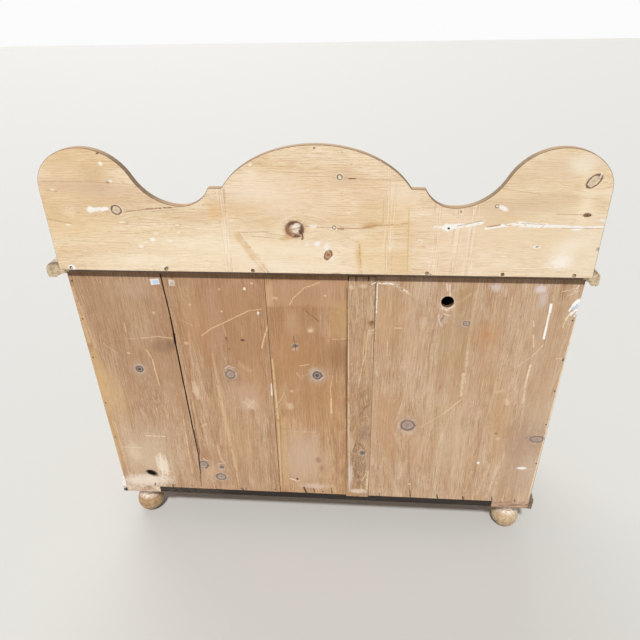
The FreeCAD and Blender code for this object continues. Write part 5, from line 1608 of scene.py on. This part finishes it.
# painted shade: the rail is near-black, standing in for the shade under the case
railShadeDark = {
    "pale": (54, 45, 38),
    "deep": (40, 33, 28),
    "late": (26, 22, 19),
    "stain": (34, 28, 24),
    "bloom": (74, 63, 54),
    "speck": (120, 106, 92),
    "fleck": (26, 21, 18),
    "stainShare": 0.4,
    "bloomShare": 0.4,
}
lighterRailPatch = {"x": 430, "edge": (150, 60), "ragged": ((0.4, 0.6, 0.35, (104, 92, 80)),)}


def baseRailShadeFinish():
    board = Board("baseRailShadePine", boardLook(railShadeDark, "xzy", 22.8, (caseX, 219, 130), {}))
    f = board.f
    # it is lighter for a way near the left
    worn = f.fade(abs(board.x - lighterRailPatch["x"]), *lighterRailPatch["edge"])
    board.tint(board.ragged, lighterRailPatch["ragged"], worn)
    return board.finished()


blocks = {
    "blot": (20, 20, 7),
    # painted shade along the blocks' bottom edge
    "sole": ((121, 116.5, 0.55, (88, 68, 56)),),
    # share and colour of the wood, then of its blots with where each starts and where it is whole
    "left": (0.75, (214, 192, 170), ((0.5, 0.62, 0.75, (160, 128, 98)), (0.44, 0.36, 0.6, (240, 228, 212)))),
    "right": (0.8, (178, 144, 124), ((0.5, 0.6, 0.75, (132, 100, 82)), (0.42, 0.34, 0.6, (208, 182, 164)))),
}


def baseBlockFinish():
    own = {"paired": 47, "ringShare": 0.15, "streakShare": 0.15, "threadShare": 0.2}
    board = Board("baseBlockPine", boardLook(rawInside, "xyz", 24.9, (caseX, caseY, 130), own))
    f = board.f
    sides = {"left": board.x > 0, "right": board.x < 0}
    blots = f.noise(f.stretch(board.point, blocks["blot"], (3, 1, 8)), 3, 0.6)
    for name, side in sides.items():
        share, colour, blotRows = blocks[name]
        board.lay(side * share, colour)
        board.tint(blots, blotRows, side)
    # painted shade along the bottom edge
    board.tint(board.z, blocks["sole"])
    return board.finished()


# Brass and iron

metals = {
    "brass": {"tone": (186, 146, 82), "dull": (112, 88, 58), "roughness": 0.34, "metallic": 0.95},
    "iron": {"tone": (72, 64, 60), "dull": (86, 54, 38), "roughness": 0.62, "metallic": 0.75},
}
filledScrews = {
    # old filler and paint cover the screws through the gallery, and the first is white
    "tone": (206, 182, 150),
    "dull": (150, 122, 94),
    "grit": (104, 84, 68),
    "white": (250, 248, 244),
    "whiteFrom": 440,
    "whiteTo": 470,
}


def metalFinish(kind):
    look = metals[kind]
    f = Finish("old" + kind.capitalize())
    point = f.point()
    cloud = f.noise(f.stretch(point, (7, 7, 7)), 4, 0.65)
    fine = f.noise(f.stretch(point, (0.9, 0.9, 2.5)), 3, 0.6)
    tarnish = f.fade(cloud, 0.45, 0.68)
    colour = f.blend(tarnish, tone(*look["tone"]), tone(*look["dull"]))
    colour = f.blend(f.fade(fine, 0.55, 0.8) * 0.4, colour, tone(*look["dull"]))
    roughness = tarnish * 0.2 + fine * 0.12 + look["roughness"]
    metallic = look["metallic"] - tarnish * 0.35
    return f.close(colour, roughness, cloud * 0.6 + fine * 0.4, 0.2, 0.4, Metallic=metallic)


def filledScrewFinish():
    look = filledScrews
    f = Finish("filledScrews")
    point = f.point()
    grit = f.noise(f.stretch(point, (3.4, 3.4, 3.4)), 4, 0.7)
    dull = f.noise(f.stretch(point, (60, 60, 60), (3, 0, 1)), 1)
    colour = f.blend(f.fade(dull, 0.4, 0.6), tone(*look["tone"]), tone(*look["dull"]))
    colour = f.blend(f.fade(grit, 0.5, 0.62) * 0.6, colour, tone(*look["grit"]))
    first = f.fade(f.parts(point)[0], look["whiteFrom"], look["whiteTo"])
    ring = f.fade(grit, 0.42, 0.5) * -0.9 + 1
    colour = f.blend(first * ring, colour, tone(*look["white"]))
    return f.close(colour, grit * 0.1 + 0.62, grit)


def wear(name, material):
    mesh = nodes[name].data
    mesh.materials.clear()
    mesh.materials.append(material)


finishes = {
    "gallery_board": galleryFinish,
    "back_cover_strip": stripFinish,
    "plinth": plinthFinish,
    "base_rail_back": baseRailShadeFinish,
    "base_blocks": baseBlockFinish,
    "gallery_screws": filledScrewFinish,
}
brass = metalFinish("brass")
iron = metalFinish("iron")
for name in nodes:
    if "hinge" in name:
        wear(name, brass)
    if "screws" in name or "nails" in name:
        wear(name, iron)
for name, made in finishes.items():
    wear(name, made())
for name, parts in backBoards.items():
    wear(name, backFinish(name + "Pine", parts, backFace, True))
for name in boards:
    wear(name, caseFinish(name))
print("boards finished")


# Turned feet and knobs

foot = {
    "ball": 42.5,
    "sole": 20.9,
    "soleEdge": 1,
    "soleLift": 0.2,
    "neck": 22,
    "neckLength": 5,
    "bead": 31,
    "beadHeight": 16,
    "collar": 25,
    "coveHeight": 12.63,
    "pad": 35,
    "padHeight": 9,
    "padEdge": (0.4, 0.6),
    "dowel": 12.5,
    "dowelLength": 25,
    "steps": 72,
    "ballSteps": 26,
    "beadSteps": 12,
    "coveSteps": 8,
}
knob = {
    "length": 31,
    "radius": 19,
    "face": 7,
    "neck": 8.5,
    "base": 12,
    "baseHeight": 4,
    "baseEdge": 0.4,
    "tenon": 6,
    "drawerTenon": 20,
    "drawerFace": 208,       # how far the fronts lie before the middle of the frame
    "doorFace": 208.3,
    "steps": 56,
    "neckSteps": 8,
    "domeSteps": 10,
}
sharpFrom = 40               # degrees
paleBall = {
    "pale": (222, 200, 164), "deep": (196, 166, 126), "late": (140, 102, 70), "bloom": (238, 222, 198),
    "turnedShare": 0.25, "crackShare": 0.95}
tanBall = {
    "pale": (198, 166, 124), "deep": (172, 136, 96), "late": (130, 94, 62), "bloom": (218, 196, 164),
    "turnedShare": 0.6, "crackShare": 0.5}
feet = {
    "foot_front_left": (-611.5, -159, paleBall),
    "foot_front_right": (590.5, -159, tanBall),
    "foot_back_left": (-611.5, 183, paleBall),
    "foot_back_right": (590.5, 183, tanBall),
}
footSeeds = (81, 3.1)
knobSeeds = (95, 2.3)
limed = {
    "edge": (66, 82),
    "torn": 16,
    "share": 0.8,
    "tone": (216, 196, 182),
    "ragged": ((0.4, 0.56, 0.7, (240, 228, 216)),),
    "split": ((0.52, 0.62, 0.75, (150, 116, 96)),),
}
lathe = {"mark": 2.6, "tones": ((0.54, 0.7, (120, 82, 54)), (0.44, 0.3, (232, 204, 168)))}
splits = {
    "size": (60, 7, 7),
    "edge": (0.6, 0.68),
    "depth": -0.9,
    "dark": (104, 68, 46),
    "pale": ((0.38, 0.26, 0.5, (232, 206, 166)),),
}
grimySole = ((11, 0, 0.6, (104, 76, 54)),)


def arcPoints(start, through, end, count):
    # points on the circle through three places, the last left out
    a, b, c = (Vector(p) for p in (start, through, end))
    d = 2 * (a.x * (b.y - c.y) + b.x * (c.y - a.y) + c.x * (a.y - b.y))
    centre = Vector((
        (a.dot(a) * (b.y - c.y) + b.dot(b) * (c.y - a.y) + c.dot(c) * (a.y - b.y)) / d,
        (a.dot(a) * (c.x - b.x) + b.dot(b) * (a.x - c.x) + c.dot(c) * (b.x - a.x)) / d,
    ))
    first, mid, last = (math.atan2(p.y - centre.y, p.x - centre.x) for p in (a, b, c))
    turn = (last - first) % (2 * math.pi)
    if (mid - first) % (2 * math.pi) > turn:
        turn -= 2 * math.pi
    radius = (a - centre).length
    angles = [first + turn * i / count for i in range(count)]
    return [(centre.x + radius * math.cos(t), centre.y + radius * math.sin(t)) for t in angles]


def footProfile():
    ball, sole, neck, bead = (foot[key] for key in ("ball", "sole", "neck", "bead"))
    collar, pad, dowel = (foot[key] for key in ("collar", "pad", "dowel"))
    ballZ = math.sqrt(ball ** 2 - sole ** 2)
    neckZ = ballZ + math.sqrt(ball ** 2 - neck ** 2)
    beadZ = neckZ + foot["neckLength"]
    collarZ = beadZ + foot["beadHeight"]
    padZ = collarZ + foot["coveHeight"]
    topZ = padZ + foot["padHeight"]
    dowelZ = topZ + foot["dowelLength"]
    cove = ((collar + pad) / 2 - foot["neckLength"] / 3, (collarZ + padZ) / 2 + foot["neckLength"] / 4)
    inward, upward = foot["padEdge"]
    points = [(0, 0), (sole - foot["soleEdge"], 0)]
    points += arcPoints((sole, foot["soleLift"]), (ball, ballZ), (neck, neckZ), foot["ballSteps"])
    points += [(neck, neckZ), (neck, neckZ + foot["neckLength"] / 2)]
    points += arcPoints((neck, beadZ), (bead, (beadZ + collarZ) / 2), (collar, collarZ), foot["beadSteps"])
    points += arcPoints((collar, collarZ), cove, (pad, padZ), foot["coveSteps"])
    points += [(pad - inward, padZ), (pad, padZ + upward), (pad, topZ)]
    points += [(dowel, topZ), (dowel, dowelZ), (0, dowelZ)]
    return points


def knobProfile(tenonLength):
    length, radius, face, neck = (knob[key] for key in ("length", "radius", "face", "neck"))
    base, baseZ, tenon = (knob[key] for key in ("base", "baseHeight", "tenon"))
    neckZ = baseZ + (length - baseZ) / 3
    widestZ = length * 2 / 3
    flare = neck + baseZ / 2
    edge, steps = knob["baseEdge"], knob["neckSteps"]
    points = [(0, -tenonLength), (tenon, -tenonLength), (tenon, 0), (base - edge, 0), (base, edge)]
    points += arcPoints((base, baseZ), (neck, (baseZ + neckZ) / 2), (flare, neckZ), steps)
    points += arcPoints((flare, neckZ), (radius - baseZ / 2, (neckZ + widestZ) / 2), (radius, widestZ), steps)
    dome = ((radius * 3 + face) / 4, (widestZ + length * 2) / 3)
    points += arcPoints((radius, widestZ), dome, (face, length), knob["domeSteps"])
    points += [(face, length), (face / 2, length), (0, length)]
    return points


def turnOnLathe(profile, steps):
    # radius and height, spun about the upright axis
    bm = bmesh.new()
    verts = [bm.verts.new((r / perMetre, 0, z / perMetre)) for r, z in profile]
    edges = [bm.edges.new(pair) for pair in zip(verts, verts[1:])]
    bmesh.ops.spin(bm, geom=verts + edges, cent=(0, 0, 0), axis=(0, 0, 1), dvec=(0, 0, 0),
                   angle=2 * math.pi, steps=steps, use_merge=True, use_duplicate=False)
    bmesh.ops.remove_doubles(bm, verts=bm.verts, dist=1e-6)
    bmesh.ops.recalc_face_normals(bm, faces=bm.faces)
    for face in bm.faces:
        face.smooth = True
    return bm


def addPiece(bm, name, material, body, *stoodFor):
    mesh = bpy.data.meshes.new(name)
    bm.to_mesh(mesh)
    bm.free()
    mesh.materials.append(material)
    for edge in mesh.edges:
        edge.use_edge_sharp = False
    piece = addObject(name, mesh)
    mesh.set_sharp_from_angle(angle=math.radians(sharpFrom))
    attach(piece, body)
    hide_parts(*stoodFor)


def footFinish(name, x, y, own, seed):
    # limed above and worn bare on the ball, with the marks of the lathe
    board = Board(name + "Turning", boardLook(turnedWood, "zxy", seed, (x, y, 60), own))
    f, look = board.f, board.look
    place = f.vector(board.along, board.across, board.deep)
    split = f.noise(f.stretch(place, splits["size"], (seed, 0, 3)), 3, 0.7, 0.6)
    upper = f.fade(board.z + board.ragged * limed["torn"], *limed["edge"])
    board.lay(upper * limed["share"], limed["tone"])
    board.tint(board.ragged, limed["ragged"], upper)
    board.tint(split, limed["split"], upper)
    turned = f.noise(f.vector(seed, 0, board.z / lathe["mark"]), 2, 0.6)
    for start, whole, colour in lathe["tones"]:
        board.lay(f.fade(turned, start, whole) * look["turnedShare"], colour)
    board.lay(f.fade(split, *splits["edge"]) * look["crackShare"], splits["dark"], splits["depth"])
    board.tint(split, splits["pale"])
    board.tint(board.z, grimySole)
    return board.finished(strength=0.6)


def makeFeet():
    for index, (name, (x, y, own)) in enumerate(feet.items()):
        bm = turnOnLathe(footProfile(), foot["steps"])
        bmesh.ops.translate(bm, verts=bm.verts, vec=(x / perMetre, y / perMetre, 0))
        material = footFinish(name, x, y, own, footSeeds[0] + index * footSeeds[1])
        addPiece(bm, "turned_" + name, material, "carcass", name)


def knobPlaces():
    # body, length of the tenon, how far the front lies forward, and the knobs' places in metres
    places = {}
    inset = knob["radius"] / perMetre
    for number in drawers:
        name = "drawer_" + str(number) + "_knobs"
        low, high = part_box(name)
        z = (low.z + high.z) / 2
        spots = [(low.x + inset, z), (high.x - inset, z)]
        places[name] = ("drawer_" + str(number), knob["drawerTenon"], knob["drawerFace"], spots)
    for side in doors:
        name = "door_" + side + "_knob"
        low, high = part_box(name)
        spindle = high.y * perMetre + knob["doorFace"]
        spots = [((low.x + high.x) / 2, (low.z + high.z) / 2)]
        places[name] = ("catch_" + side, spindle, knob["doorFace"], spots)
    return places


def makeKnobs():
    for index, (name, (body, tenon, forward, spots)) in enumerate(knobPlaces().items()):
        bm = bmesh.new()
        for x, z in spots:
            one = turnOnLathe(knobProfile(tenon), knob["steps"])
            forwards = Matrix.Rotation(math.pi / 2, 3, "X")
            bmesh.ops.rotate(one, verts=one.verts, cent=(0, 0, 0), matrix=forwards)
            bmesh.ops.translate(one, verts=one.verts, vec=(x, -forward / perMetre, z))
            mesh = bpy.data.meshes.new(name + "Part")
            one.to_mesh(mesh)
            one.free()
            bm.from_mesh(mesh)
            bpy.data.meshes.remove(mesh)
        middle = (spots[0][0] * perMetre, -forward, spots[0][1] * perMetre)
        seed = knobSeeds[0] + index * knobSeeds[1]
        look = boardLook(turnedWood, "yxz", seed, middle, {"paired": 31, "gloss": 1})
        board = Board(name + "Turning", look)
        addPiece(bm, "turned_" + name, board.finished(strength=0.3), body, name)


makeFeet()
makeKnobs()
print("turnings made")

# Floor, light and sky

studio = {
    # heights are degrees above level, turns are degrees from behind the dresser, and spreads are degrees
    "keyLight": {"strength": 2.75, "height": 56, "turn": 6, "spread": 5},
    "frontLight": {"strength": 1.7, "height": 32, "turn": 160, "spread": 60},
    "lampReach": 5,
    "floor": (196, 195, 191),
    "floorCloud": (200, 200, 197),
    "floorReach": 20,
    "skyLight": 0.36,
    "skySeen": 0.97,
}


def makeSun(name):
    look = studio[name]
    data = bpy.data.lights.new(name, "SUN")
    data.energy = look["strength"]
    data.angle = math.radians(look["spread"])
    lamp = addObject(name, data)
    a, e = math.radians(look["turn"]), math.radians(look["height"])
    towards = Vector((math.sin(a) * math.cos(e), math.cos(a) * math.cos(e), math.sin(e)))
    lamp.rotation_mode = "QUATERNION"
    lamp.rotation_quaternion = towards.to_track_quat("Z", "Y")
    lamp.location = towards * studio["lampReach"]


def makeFloor():
    bm = bmesh.new()
    bmesh.ops.create_grid(bm, x_segments=2, y_segments=2, size=studio["floorReach"])
    mesh = bpy.data.meshes.new("floor")
    bm.to_mesh(mesh)
    bm.free()
    floor = addObject("floor", mesh)
    f = Finish("paleFloor")
    texture = f.node("ShaderNodeTexCoord", {}, {}, "Object")
    cloud = f.noise(f.stretch(texture, (0.6, 0.6, 0.6)), 3)
    colour = f.blend(f.fade(cloud, 0.3, 0.7) * 0.06, tone(*studio["floor"]), tone(*studio["floorCloud"]))
    mesh.materials.append(f.close(colour, cloud * 0.02 + 0.8, cloud, 0.1, 0.1))


class Sky(Finish):
    def __init__(self):
        world = bpy.data.worlds.new("studio")
        bpy.context.scene.world = world
        world.use_nodes = True
        self.tree = world.node_tree
        self.tree.nodes.clear()


def makeSky():
    # a white ground for the camera and for gloss, and a softer light on everything else
    f = Sky()
    camera = f.node("ShaderNodeLightPath", {}, {}, "Is Camera Ray")
    bent = f.other(camera, "Is Glossy Ray").does("MAXIMUM", f.other(camera, "Is Transmission Ray"))
    seen = camera.does("MAXIMUM", bent)
    strength = f.node("ShaderNodeMapRange", {}, {0: seen, 3: studio["skyLight"], 4: studio["skySeen"]})
    sky = f.node("ShaderNodeBackground", {}, {"Color": (1, 1, 1, 1), "Strength": strength})
    f.node("ShaderNodeOutputWorld", {}, {"Surface": sky})


makeSun("keyLight")
makeSun("frontLight")
makeFloor()
makeSky()
bpy.context.scene.view_settings.view_transform = "Standard"
print("studio lit")
